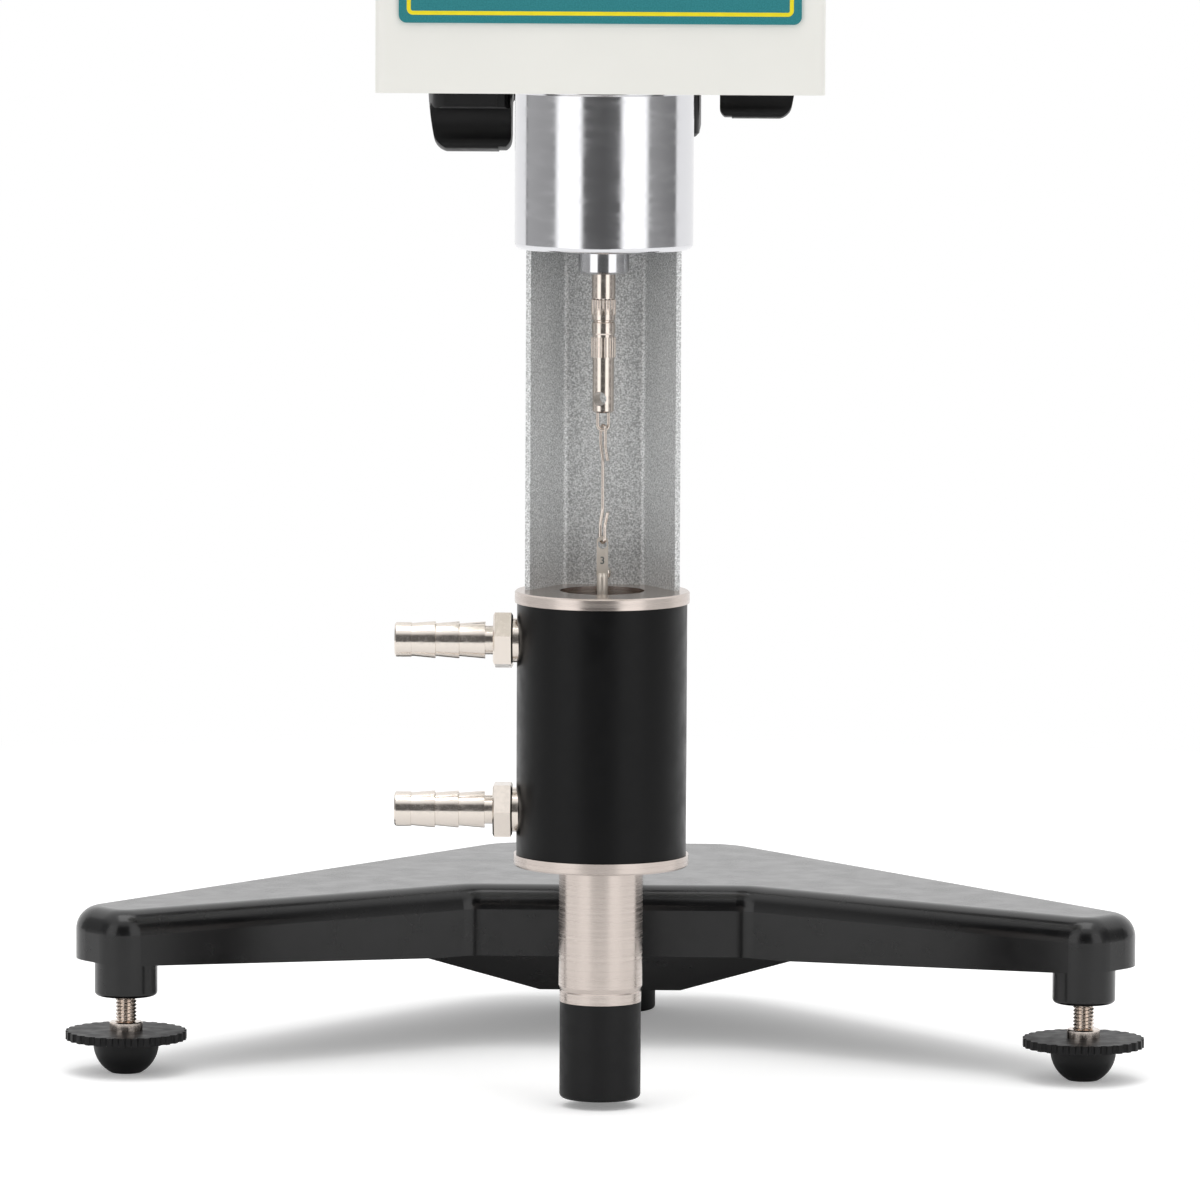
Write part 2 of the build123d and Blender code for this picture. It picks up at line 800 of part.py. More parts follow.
def bottom_plate():
    """Plate that closes the head below and carries the bearing and the flange."""
    margin = head_wall + 0.1
    plate = block(
        (-head_width / 2 + margin, head_width / 2 - margin),
        (head_front + margin, head_back - margin),
        (head_bottom, floor_plate_top),
    )
    boss = rod(bearing_radius + 3, floor_plate_top - 1, floor_plate_top + bearing_height)
    seat = rod(bearing_radius, floor_plate_top, floor_plate_top + bearing_height + 1)
    bore = rod(pivot_shaft_radius + 2, head_bottom - 1, floor_plate_top + 1)
    return plate + on_axis(boss) - on_axis(seat) - on_axis(bore)


def front_panel():
    """Thin printed panel with its display opening and key openings."""
    centre_z = head_bottom + panel_lift + panel_height / 2
    sheet = extrude(Plane.XZ * RectangleRounded(panel_width, panel_height, panel_corner), panel_thickness)
    sheet = Pos(0, head_front, centre_z) * sheet
    half_window = window_width / 2
    sheet -= block(
        (-half_window, half_window),
        (head_front - 2, head_front + 1),
        (window_z - window_height / 2, window_z + window_height / 2),
    )
    for x, z in key_places().values():
        sheet -= key_blank(x, z, seat_gap, head_front - 3, head_front + 1)
    return sheet


def display_window():
    """Clear window, flush with the panel and seated in the housing."""
    gap = 0.1
    half = window_width / 2 - gap
    half_height = window_height / 2 - gap
    front = head_front - panel_thickness
    return block((-half, half), (front, head_front + head_wall), (window_z - half_height, window_z + half_height))


def display_board():
    """Board behind the front wall with the display block and one switch under each key."""
    wall = head_front + head_wall
    board_front = wall + board_gap
    half = window_width / 2 + 4
    low = key_z - key_pitch_z / 2 - 14
    high = window_z + window_height / 2 + 8
    board = block((-half, half), (board_front, board_front + board_thickness), (low, high))
    display = block(
        (-half + 1, half - 1),
        (wall, board_front + 0.5),
        (window_z - window_height / 2 - 3, window_z + window_height / 2 + 3),
    )
    board += display
    for x, z in key_places().values():
        board += block((x - 3, x + 3), (board_front - 3, board_front + 0.5), (z - 3, z + 3))
    for x in (-half + 5, half - 5):
        board += rod_y(2.5, wall, board_front + 0.5, x, low + 5)
    return board


def panel_key(x, z):
    """Key cap that stands just proud of the panel, with its stem through the wall."""
    front = head_front - panel_thickness - key_proud
    cap = key_blank(x, z, 0, front, front + key_plate)
    cap = fillet(cap.faces().sort_by(Axis.Y)[0].edges(), 0.4)
    stem_end = head_front + head_wall + board_gap - 3 - 0.5
    return cap + rod_y(key_stem_radius, front + key_plate - 0.2, stem_end, x, z)


def level_ring():
    ring_height = 2.6
    body = ring(11.5, level_hole_radius(), head_top, head_top + ring_height)
    body = fillet(body.edges().group_by(Axis.Z)[-1].sort_by(SortBy.LENGTH)[-1], 1.2)
    return on_axis(Pos(0, -level_offset(), 0) * body)


def level_vial():
    """Round bubble level, a capsule with a slightly domed glass."""
    radius = level_hole_radius() - 0.1
    body = rod(radius, head_top - 6, head_top + 2.2)
    body = fillet(body.edges().group_by(Axis.Z)[-1], 0.6)
    return on_axis(Pos(0, -level_offset(), 0) * body)


def chassis_outline():
    """Half width of the chassis plate with the places of its front and back edges."""
    half = head_width / 2 - head_wall - chassis_side_gap
    front = head_front + head_wall + board_gap + board_thickness + 1
    back = head_back - inlet_depth - chassis_back_gap
    return half, front, back


def chassis_plate():
    half, front, back = chassis_outline()
    plate = block((-half, half), (front, back), (chassis_z, chassis_z + chassis_plate_thickness))
    plate = fillet(plate.edges().filter_by(Axis.Z), 5)
    return plate - on_axis(rod(pinion_shaft_radius, chassis_z - 1, chassis_z + chassis_plate_thickness + 1))


def chassis_pillars():
    half, front, back = chassis_outline()
    pillar = rod(pillar_radius, floor_plate_top, chassis_z)
    x = half - pillar_inset
    return Compound([
        Pos(side * x, y, 0) * pillar for side in (-1, 1) for y in (front + pillar_inset, back - pillar_inset)
    ])


def drive_motor():
    """Geared synchronous motor that stands on the chassis plate."""
    low = chassis_z + chassis_plate_thickness
    body = rod(motor_radius, low, low + motor_height)
    body = fillet(body.edges().group_by(Axis.Z)[-1], 2)
    gearbox = Pos(0, 6, 0) * rod(motor_radius * 0.6, low + motor_height - 1, low + motor_height + 9)
    terminals = block((-8, 8), (motor_radius - 2, motor_radius + 6), (low + 4, low + 16))
    bore = rod(3.1, low - 1, low + motor_height - 4)
    return on_axis(body + gearbox + terminals - bore)


def drive_shaft():
    """Output shaft of the motor with the arbor that drives the outer end of the spring."""
    arbor_low = pivot_shaft_top + 4.2
    shaft = rod(3.0, arbor_low, chassis_z + chassis_plate_thickness + motor_height - 5)
    arbor = rod(13.0, arbor_low, arbor_low + 2)
    post = Pos(11.6, 0, 0) * rod(1.1, pivot_shaft_top + 0.8, arbor_low + 1)
    return on_axis(shaft + arbor + post)


def torsion_spring():
    """Flat spiral spring in half turns, from the collet out to the arbor's post."""
    low = pivot_shaft_top + 1.2
    high = low + 2.4
    strip = 0.5
    step = 0.9
    collet = ring(3.6, pivot_shaft_radius, pivot_shaft_top - 4, pivot_shaft_top + 3.4)
    spring = collet
    for half_turn in range(2 * spring_turns):
        side = 1 if half_turn % 2 == 0 else -1
        radius = 3.6 + strip / 2 + half_turn * step
        shift = 0 if side == 1 else -step
        band = ring(radius + strip, radius, low, high)
        half_space = block((-30, 30), (0, 30) if side == 1 else (-30, 0), (low - 1, high + 1))
        spring += Pos(shift, 0, 0) * (band & half_space)
    spring += block((3.0, 5.0), (-0.3, 0.3), (low, high))
    return on_axis(spring)


def encoder_disc():
    disc = rod(encoder_radius, encoder_z, encoder_z + 1)
    slot = block((encoder_radius - 6, encoder_radius - 2), (-0.7, 0.7), (encoder_z - 1, encoder_z + 2))
    disc -= [Rot(0, 0, 360 / encoder_slots * index) * slot for index in range(encoder_slots)]
    disc += rod(5, encoder_z - 3, encoder_z + 4)
    return on_axis(disc - rod(pivot_shaft_radius, encoder_z - 4, encoder_z + 5))


def optical_sensor():
    """Fork sensor that straddles the rim of the encoder disc."""
    inner = encoder_radius - 8
    outer = encoder_radius + 6
    body = block((inner, outer), (-5, 5), (floor_plate_top, encoder_z + 7))
    gap = block((inner - 1, encoder_radius + 1.5), (-6, 6), (encoder_z - 2, encoder_z + 3))
    foot_cut = block((inner - 1, outer - 6), (-6, 6), (floor_plate_top + 2, encoder_z - 6))
    return on_axis(body - gap - foot_cut)


def main_board():
    """Control and supply board, standing on posts in front of the rear cover."""
    back = head_back - rear_cover_depth
    low = head_bottom + main_board_rise
    half = head_width / 2 - head_wall - main_board_side_gap
    board = block((-half, half), (back - board_thickness, back), (low, low + main_board_height))
    board += block((6 - half, 36 - half), (back - 14, back - 1), (low + 8, low + 34))
    board += block((half - 38, half - 20), (back - 6, back - 1), (low + 14, low + 32))
    for index in range(3):
        board += rod_y(5, back - 15, back - 1, 14 - half + index * 15, low + 50)
    for x in (5 - half, half - 5):
        for z in (low + 5, low + main_board_height - 5):
            board += rod_y(2.5, back - 0.5, head_back - head_wall, x, z)
    return board


def spindle_bearing():
    top = floor_plate_top + bearing_height
    outer = ring(bearing_radius, bearing_radius - 1.6, floor_plate_top, top)
    inner = ring(pivot_shaft_radius + 1.4, pivot_shaft_radius + running_fit, floor_plate_top, top)
    web = ring(bearing_radius - 1.5, pivot_shaft_radius + 1.3, floor_plate_top + 1, top - 1)
    return on_axis(outer + inner + web)


def mounting_flange():
    """Disc under the head with the spigot that centres the guard."""
    low = head_bottom - flange_thickness
    disc = rod(flange_radius, low, head_bottom)
    disc = chamfer(disc.edges().group_by(Axis.Z)[0], 0.5)
    disc += rod(guard_radius - guard_wall, low - spigot_depth, low + 1)
    disc -= rod(guard_radius - guard_wall - 6, low - spigot_depth - 1, low)
    disc -= rod(pivot_cup_bore, low - 1, head_bottom + 1)
    return on_axis(disc)


def guard_cylinder():
    top = head_bottom - flange_thickness
    guard = ring(guard_radius, guard_radius - guard_wall, guard_bottom, top)
    lower = guard.edges().group_by(Axis.Z)[0].sort_by(SortBy.LENGTH)
    guard = fillet(lower[-1], guard_edge)
    return on_axis(guard)


def pivot_cup():
    """Small polished cup that shields the pivot, hung from the flange by its rim."""
    top = head_bottom - flange_thickness
    cup = rod(pivot_cup_radius, pivot_cup_bottom, top)
    cup = chamfer(cup.edges().group_by(Axis.Z)[0], 0.6)
    cup += rod(guard_radius - guard_wall - 6, top - 3, top)
    return on_axis(cup - rod(pivot_cup_bore, pivot_cup_bottom - 1, top + 1))


def pivot_shaft():
    return on_axis(rod(pivot_shaft_radius, pivot_cup_bottom + 4, pivot_shaft_top))


def knurl(radius, low, high, count):
    """A band of straight flutes round the coupling."""
    band = rod(radius, low, high)
    flute = rod(0.4, low - 1, high + 1)
    return band - [place * flute for place in PolarLocations(radius + 0.12, count)]


def spindle_coupling():
    """Coupling nut with two knurls, a cross hole and the wire eye that carries the link."""
    neck = coupling_neck_radius
    body = coupling_body_radius
    z = coupling_bottom
    coupling = revolved([
        (0, z), (body - 0.4, z), (body, z + 0.4), (body, z + 14.2), (neck - 0.2, z + 14.2),
        (neck - 0.2, z + 21.0), (neck, z + 21.4), (neck, z + 24.2), (neck - 0.3, z + 24.4),
        (neck - 0.3, z + 24.8), (neck, z + 25.0), (neck, z + 26.3), (neck - 0.2, z + 30.4),
        (neck, z + 30.8), (neck, z + 50.0), (0, z + 50.0),
    ])
    coupling += knurl(neck + 0.18, z + 14.9, z + 20.3, 18)
    coupling += knurl(neck + 0.18, z + 26.4, z + 30.4, 16)
    coupling -= rod(pivot_shaft_radius, pivot_cup_bottom + 4, z + 51)
    cross = rod_y(cross_hole_radius, -6, 6, 0, z + 3.8)
    coupling -= Rot(0, 0, -cross_hole_turn) * cross
    eye_low = z - eye_drop + wire_radius
    path = FilletPolyline(
        (-eye_half_width, 0, z + 1), (-eye_half_width, 0, eye_low),
        (eye_half_width, 0, eye_low), (eye_half_width, 0, z + 1),
        radius=eye_half_width * 0.85,
    )
    start = Plane(origin=path @ 0, z_dir=path % 0)
    coupling += sweep(start * Circle(wire_radius), path)
    return on_axis(coupling)


def hook_link():
    """Wire link with a hook over the coupling's eye and a hook through the spindle's tag."""
    eye_wire_top = coupling_bottom - eye_drop + 2 * wire_radius
    top = eye_wire_top + hook_gap + wire_radius
    bottom = tag_hole_z + tag_hole_radius - hook_gap - wire_radius
    upper_half = 1.3
    lower_half = 1.3
    points = [
        (-2.7, top - 9.4), (-upper_half, top - 5.6), (-upper_half, top), (upper_half, top),
        (upper_half, top - 5.0), (0, top - 9.6), (0, bottom + 9.0), (lower_half, bottom + 4.8),
        (lower_half, bottom), (-lower_half, bottom), (-lower_half, bottom + 4.6), (-2.8, bottom + 8.4),
    ]
    radii = [3.0, 1.15, 1.15, 3.0, 2.4, 2.4, 3.0, 1.15, 1.15, 3.0]
    path = FilletPolyline(*[(0, y, z) for y, z in points], radius=radii)
    start = Plane(origin=path @ 0, z_dir=path % 0)
    link = sweep(start * Circle(wire_radius), path)
    return on_axis(Rot(0, 0, hook_turn) * link)


def measuring_spindle():
    """Flat numbered tag, rod and cylindrical bob with coned ends."""
    tag = block(
        (-tag_width / 2, tag_width / 2), (-tag_thickness / 2, tag_thickness / 2), (tag_bottom, tag_top)
    )
    tag = fillet(tag.edges().filter_by(Axis.Y).group_by(Axis.Z)[-1], tag_width * 0.45)
    tag -= rod_y(tag_hole_radius, -5, 5, 0, tag_hole_z)
    bob_bottom = bob_top - bob_length
    cone = bob_radius * 0.6
    body = revolved([
        (0, bob_bottom - cone), (bob_radius, bob_bottom), (bob_radius, bob_top), (rod_radius, bob_top + cone),
        (rod_radius, tag_bottom - 0.4), (rod_radius * 0.8, tag_bottom + 0.6), (0, tag_bottom + 0.6),
    ])
    return on_axis(body + tag)


def adapter_channel():
    """Open trapezoid channel that hangs the jacket from a collar inside the guard."""
    path = FilletPolyline(
        (-channel_front_half, 0), (-channel_back_half, channel_back_y),
        (channel_back_half, channel_back_y), (channel_front_half, 0),
        radius=channel_bend,
    )
    section = trace(path, channel_wall)
    channel = Pos(0, 0, jacket_top) * extrude(section, channel_top - jacket_top)
    collar_radius = guard_radius - guard_wall
    channel += ring(collar_radius, collar_radius - 2.6, channel_top - 13, channel_top)
    return on_axis(channel)


def channel_screw():
    """Domed screw that holds the channel on the lug of the jacket's top ring."""
    face = channel_back_y - channel_wall / 2
    z = jacket_top + channel_screw_radius + 1.2
    head = rod_y(channel_screw_radius, face - 1.3, face, 0, z)
    head = fillet(head.edges().group_by(Axis.Y)[0], 0.9)
    return on_axis(head)


def jacket_end_rings():
    """Stainless end plates of the jacket."""
    top = ring(jacket_ring_radius, sleeve_radius, jacket_top - jacket_ring_height, jacket_top)
    top = chamfer(top.edges().group_by(Axis.Z)[-1].sort_by(SortBy.LENGTH)[-1], 0.4)
    bottom = ring(jacket_ring_radius, sleeve_radius, jacket_bottom, jacket_bottom + jacket_ring_height)
    bottom = chamfer(bottom.edges().group_by(Axis.Z)[0].sort_by(SortBy.LENGTH)[-1], 0.4)
    return on_axis(Compound([top, bottom]))


def jacket_body():
    """Black outer tube of the water jacket with the two ports for its hose barbs."""
    low = jacket_bottom + jacket_ring_height
    high = jacket_top - jacket_ring_height
    body = ring(jacket_radius, jacket_radius - 3, low, high)
    for z in barb_heights():
        body -= rod_x(barb_seat_radius, -jacket_radius - 2, -jacket_radius + 0.6, 0, z)
        body -= rod_x(barb_root_radius, -jacket_radius - 2, 0, 0, z)
    return on_axis(body)


def inner_sleeve():
    """Stainless tube down the middle of the jacket that holds the sample chamber."""
    return on_axis(ring(sleeve_radius, chamber_radius + chamber_gap, jacket_bottom, jacket_top))


def barb_heights():
    middle = (jacket_bottom + jacket_top) / 2 + barb_middle_rise
    return (middle + barb_span / 2, middle - barb_span / 2)


def hose_barb():
    """One barbed hose tail along Z, its seat face on Z 0."""
    profile = [(barb_bore, -4), (barb_root_radius, -4), (barb_root_radius, 0), (barb_seat_radius, 0)]
    hex_low = barb_seat_length
    hex_high = hex_low + barb_hex_height
    tail = hex_high + barb_neck
    profile += [(barb_seat_radius, hex_low), (barb_root_radius, hex_low), (barb_root_radius, tail)]
    for index in range(barb_count):
        low = tail + index * barb_pitch
        profile += [(barb_crest_radius, low), (barb_root_radius + 0.2, low + barb_pitch)]
    profile += [(barb_bore, tail + barb_count * barb_pitch)]
    turned = revolved(profile)
    nut = hexagon(barb_hex_flats, hex_low, hex_high)
    corner = barb_hex_flats / 2 / math.cos(math.radians(30))
    bevel = revolved([
        (0, hex_low), (corner - 0.7, hex_low), (corner, hex_low + 0.4),
        (corner, hex_high - 0.4), (corner - 0.7, hex_high), (0, hex_high),
    ])
    nut = (nut & bevel) - rod(barb_bore, hex_low - 1, hex_high + 1)
    return turned + nut


def hose_barbs():
    """Both hose tails, screwed into the left side of the jacket."""
    upper_z, lower_z = barb_heights()
    seat = -jacket_radius + 0.6
    upper = Pos(seat, 0, upper_z) * Rot(0, -90, 0) * Rot(0, 0, 12) * hose_barb()
    lower = Pos(seat, 0, lower_z) * Rot(0, -90, 0) * Rot(0, 0, 30) * hose_barb()
    return on_axis(Compound([upper, lower]))


def sample_tube():
    """Stainless sample chamber, open at both ends."""
    top = jacket_top - chamber_head_gap
    tube = revolved([
        (chamber_bore, chamber_bottom), (chamber_radius - 0.25, chamber_bottom),
        (chamber_radius - 0.25, chamber_step_z - 1.6), (chamber_radius - 0.5, chamber_step_z - 1.2),
        (chamber_radius, chamber_step_z), (chamber_radius, top), (chamber_bore, top),
    ])
    return on_axis(tube)


def tube_cap():
    """Black plug cap that closes the sample chamber from below."""
    cap = rod(chamber_cap_radius, cap_bottom, chamber_bottom)
    cap = fillet(cap.edges().group_by(Axis.Z)[0], 1.2)
    return on_axis(cap + rod(chamber_bore, chamber_bottom - 1, chamber_bottom + cap_plug_height))


def all_parts():
    """Every node of the viscometer by name."""
    parts = {
        "base_casting": base_casting(),
        "rear_foot": rear_foot(),
        "column_rod": column_rod(),
        "column_nut": column_nut(),
        "column_cap": column_cap(),
    }
    for side, name in ((-1, "left"), (1, "right")):
        parts[name + "_levelling_screw"] = levelling_screw(side)
        parts[name + "_levelling_wheel"] = levelling_wheel(side)
        parts[name + "_foot_pad"] = levelling_pad(side)
    parts.update({
        "clamp_block": clamp_block(),
        "guide_bush": guide_bush(),
        "mounting_bar": mounting_bar(),
        "pinion_shaft": pinion_shaft(),
        "lift_knob": lift_knob(),
        "lock_screw": lock_screw(),
        "lock_knob": lock_knob(),
        "front_housing": front_housing(),
        "rear_cover": rear_cover(),
        "bottom_plate": bottom_plate(),
        "cover_screws": cover_screws(),
        "front_panel": front_panel(),
        "display_window": display_window(),
        "display_board": display_board(),
        "power_switch": power_switch(),
        "power_rocker": power_rocker(),
        "power_inlet": power_inlet(),
        "data_socket": data_socket(),
        "level_ring": level_ring(),
        "level_vial": level_vial(),
        "chassis_plate": chassis_plate(),
        "chassis_pillars": chassis_pillars(),
        "drive_motor": drive_motor(),
        "drive_shaft": drive_shaft(),
        "spindle_bearing": spindle_bearing(),
        "pivot_shaft": pivot_shaft(),
        "torsion_spring": torsion_spring(),
        "encoder_disc": encoder_disc(),
        "optical_sensor": optical_sensor(),
        "main_board": main_board(),
        "mounting_flange": mounting_flange(),
        "guard_cylinder": guard_cylinder(),
        "pivot_cup": pivot_cup(),
        "spindle_coupling": spindle_coupling(),
        "hook_link": hook_link(),
        "measuring_spindle": measuring_spindle(),
        "adapter_channel": adapter_channel(),
        "channel_screw": channel_screw(),
        "jacket_body": jacket_body(),
        "jacket_end_rings": jacket_end_rings(),
        "inner_sleeve": inner_sleeve(),
        "hose_barbs": hose_barbs(),
        "sample_tube": sample_tube(),
        "tube_cap": tube_cap(),
    })
    for name, (x, z) in key_places().items():
        parts[name] = panel_key(x, z)
    return parts


os.makedirs("parts", exist_ok=True)
for node, shape in all_parts().items():
    export_step(shape, "parts/" + node + ".step")
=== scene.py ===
import math

import bpy
from mathutils import Matrix, Vector


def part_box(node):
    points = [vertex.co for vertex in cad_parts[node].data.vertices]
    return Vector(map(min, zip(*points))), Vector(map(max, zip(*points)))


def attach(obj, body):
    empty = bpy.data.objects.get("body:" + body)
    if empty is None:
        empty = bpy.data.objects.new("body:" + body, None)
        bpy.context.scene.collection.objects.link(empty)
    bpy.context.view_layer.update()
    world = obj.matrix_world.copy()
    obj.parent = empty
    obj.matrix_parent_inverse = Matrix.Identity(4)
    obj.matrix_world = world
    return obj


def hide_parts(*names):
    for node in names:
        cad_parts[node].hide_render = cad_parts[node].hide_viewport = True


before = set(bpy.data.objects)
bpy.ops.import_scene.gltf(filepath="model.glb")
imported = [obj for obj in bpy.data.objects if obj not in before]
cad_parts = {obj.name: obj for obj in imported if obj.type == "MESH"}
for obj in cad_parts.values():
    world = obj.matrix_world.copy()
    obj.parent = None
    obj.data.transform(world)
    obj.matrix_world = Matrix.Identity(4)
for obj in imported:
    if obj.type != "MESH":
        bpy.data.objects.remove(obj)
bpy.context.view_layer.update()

MM = 0.001
UPRIGHT = Matrix.Identity(4)

# Camera of the photograph, in degrees and metres, with its lens and sensor in millimetres
camera_azimuth = 1.24
camera_distance = 2.555
camera_height = 0.4073
camera_roll = 0.275
centre_height = 0.1377
centre_beside_axis = 0.0006
lens = 285.96
sensor = 36.0

# Prints and display, in millimetres, with a capital's height as a share of its letter size
line_inset = 2.1
line_width = 1.05
line_radius = 1.6
print_thickness = 0.03
print_sink = 0.05
letter_share = 0.72
glass_thickness = 1.0
face_depth = 0.8
number_height = 2.0
number_drop = 6.6
tag_half_thickness = 0.5

# Rows of the display: name, words, height of the letters, place above the middle
DISPLAY_ROWS = [
    ("display_top", "SP 3   12.0 r/min", 4.2, 12.0),
    ("display_reading", "85.3 mPa.s", 8.4, 0.5),
    ("display_bottom", "42.6 %   25.0 C", 4.2, -11.5),
]

# Bubble level, in millimetres
bubble_radius = 2.6
bubble_rise = 0.7
bubble_depth = 1.2
bubble_segments = 32
target_radius = 3.6
target_half_width = 0.2
target_thickness = 0.05
target_sink = 0.02

# Hose tails, in millimetres, with the turn of each hexagon in degrees
barb_bore = 2.8
barb_crest = 5.0
barb_valley = 4.45
barb_nose = 4.7
barb_neck_radius = 3.9
barb_neck = 2.2
barb_steps = (7.0, 6.4, 6.5)
barb_land = 0.5
nose_length = 4.5
nose_chamfer = 0.4
barb_seat_radius = 6.0
barb_root_depth = 4.0
hex_start = 1.6
hex_height = 5.3
hex_flats = 14.0
hex_chamfer_width = 0.8
hex_chamfer_height = 0.45
hex_neck_overlap = 0.5
upper_hex_turn = 43.0
lower_hex_turn = 30.0
barb_span = 46.0
barb_middle_rise = 0.6

# Levelling screws, in millimetres
screw_segments = 40
screw_pin = 2.0
screw_collar = 4.6
screw_collar_z = 5.4
screw_collar_height = 2.5
screw_collar_chamfer = 0.3
screw_row_gap = 0.01
screw_radius = 3.0
screw_length = 29.6
thread_pitch = 1.0
thread_depth = 0.55
thread_rows = 8

# Floor, in metres
floor_front = -0.80
floor_back = 1.60
floor_half = 1.50
fade_centre = (0, -0.09, 0)
fade_start = 0.42
fade_end = 0.75
floor_shade = 0.93
floor_glow = 0.22

# Ceiling, by the upward share of a direction, and the lamp above, in metres and watts
ceiling_start = 0.55
ceiling_end = 0.80
ceiling_level = 1.15
lamp_place = (0.0, -0.25, 1.9)
lamp_aim = (0.0, -0.1, 0.1)
lamp_size = 1.3
lamp_power = 11.0

# Values of a grain pattern between which a finish changes
pattern_low = 0.35
pattern_high = 0.65

# Roughness of a lacquer coat
coat_roughness = 0.15

# Turned pieces keep an edge that bends more than this, in degrees
sharp_angle = 30.0


def middle(node):
    """Centre of a node's box."""
    low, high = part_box(node)
    return (low + high) / 2


def srgb(red, green, blue):
    """A linear colour from its screen values."""
    shares = [value / 255 for value in (red, green, blue)]
    linear = [s / 12.92 if s <= 0.04045 else ((s + 0.055) / 1.055) ** 2.4 for s in shares]
    return (*linear, 1.0)


class Finish:
    """A principled material, with methods that add grain, bumps and uneven gloss to it."""

    def __init__(self, name, colour, roughness, metallic=0.0, specular=0.5, coat=0.0, alpha=1.0):
        self.material = bpy.data.materials.new(name)
        self.material.use_nodes = True
        self.tree = self.material.node_tree
        self.shader = self.tree.nodes["Principled BSDF"]
        self.colour = colour
        self.height = None
        self.set("Base Color", colour)
        self.set("Roughness", roughness)
        self.set("Metallic", metallic)
        self.set("Specular IOR Level", specular)
        self.set("Coat Weight", coat)
        self.set("Coat Roughness", coat_roughness)
        self.set("Alpha", alpha)

    def set(self, socket, value):
        self.shader.inputs[socket].default_value = value

    def add(self, kind, **values):
        """A new node with its settings and unlinked inputs."""
        node = self.tree.nodes.new(kind)
        for name, value in values.items():
            if hasattr(node, name):
                setattr(node, name, value)
            else:
                node.inputs[name].default_value = value
        return node

    def link(self, start, end):
        self.tree.links.new(start, end)

    def place(self, size, stretch):
        """Object coordinates in which one unit is one grain of the given size in millimetres."""
        coordinates = self.add("ShaderNodeTexCoord")
        mapping = self.add("ShaderNodeMapping")
        mapping.inputs["Scale"].default_value = [share / (size * MM) for share in stretch]
        self.link(coordinates.outputs["Object"], mapping.inputs["Vector"])
        return mapping.outputs["Vector"]

    def noise(self, size, stretch=(1, 1, 1), detail=3.0):
        """Cloudy pattern with grains of the given size in millimetres."""
        node = self.add("ShaderNodeTexNoise", Detail=detail, Scale=1.0)
        self.link(self.place(size, stretch), node.inputs["Vector"])
        return node.outputs["Fac"]

    def cells(self, size, stretch=(1, 1, 1), feature="SMOOTH_F1"):
        """Pattern of cells of the given size in millimetres."""
        node = self.add("ShaderNodeTexVoronoi", feature=feature, Scale=1.0)
        self.link(self.place(size, stretch), node.inputs["Vector"])
        return node.outputs["Distance"]

    def ramp(self, pattern, *stops):
        """Colours or grey levels along a pattern, as two pairs of place and value."""
        node = self.add("ShaderNodeValToRGB")
        for element, (place, value) in zip(node.color_ramp.elements, stops):
            element.position = place
            element.color = value if isinstance(value, tuple) else (value, value, value, 1.0)
        self.link(pattern, node.inputs["Fac"])
        return node.outputs["Color"]

    def bump(self, pattern, depth, strength):
        """Relief of the given depth in millimetres, on top of what is there."""
        node = self.add("ShaderNodeBump", Strength=strength, Distance=depth * MM)
        self.link(pattern, node.inputs["Height"])
        if self.height is not None:
            self.link(self.height, node.inputs["Normal"])
        self.height = node.outputs["Normal"]
        self.link(self.height, self.shader.inputs["Normal"])

    def tint(self, pattern, dark, light, low=pattern_low, high=pattern_high):
        """Two base colours along a pattern."""
        self.link(self.ramp(pattern, (low, dark), (high, light)), self.shader.inputs["Base Color"])

    def shades(self, pattern, spread):
        """The base colour, a little darker and lighter along a pattern."""
        dark = (*[value * (1 - spread) for value in self.colour[:3]], 1.0)
        light = (*[min(1.0, value * (1 + spread)) for value in self.colour[:3]], 1.0)
        self.tint(pattern, dark, light)

    def gloss(self, pattern, least, most):
        """Roughness between two values along a pattern."""
        ramp = self.ramp(pattern, (pattern_low, least), (pattern_high, most))
        self.link(ramp, self.shader.inputs["Roughness"])


# Stretch of the fine rings that turning leaves about Z and about X
ring_share = 0.0005
RINGS_Z = (ring_share, ring_share, 1)
RINGS_X = (1, ring_share, ring_share)


def cast_paint():
    """Black wrinkle paint on the casting."""
    finish = Finish("cast_paint", srgb(7, 7, 8), roughness=0.26, specular=0.34, coat=0.3)
    finish.bump(finish.cells(size=1.1), depth=0.012, strength=0.3)
    finish.bump(finish.noise(size=0.6, detail=2.0), depth=0.008, strength=0.3)
    finish.gloss(finish.noise(size=9.0, detail=4.0), least=0.22, most=0.28)
    return finish.material


def cream_paint():
    """Smooth cream paint of the head's shells."""
    finish = Finish("cream_paint", srgb(244, 243, 237), roughness=0.42, specular=0.4)
    finish.bump(finish.noise(size=0.55, detail=2.0), depth=0.02, strength=0.35)
    finish.shades(finish.noise(size=40.0, detail=3.0), spread=0.012)
    finish.gloss(finish.noise(size=12.0), least=0.38, most=0.46)
    return finish.material


def polished_aluminium():
    """Bright turned aluminium with fine rings."""
    finish = Finish("polished_aluminium", srgb(222, 222, 225), roughness=0.15, metallic=1.0)
    finish.bump(finish.noise(size=0.12, stretch=RINGS_Z, detail=2.0), depth=0.004, strength=0.5)
    finish.gloss(finish.noise(size=2.5, stretch=(0.3, 0.3, 1), detail=5.0), least=0.10, most=0.19)
    return finish.material


def satin_aluminium():
    """Dull turned aluminium with fine rings."""
    finish = Finish("satin_aluminium", srgb(225, 225, 227), roughness=0.32, metallic=1.0)
    finish.bump(finish.noise(size=0.2, stretch=RINGS_Z, detail=2.0), depth=0.006, strength=0.6)
    return finish.material


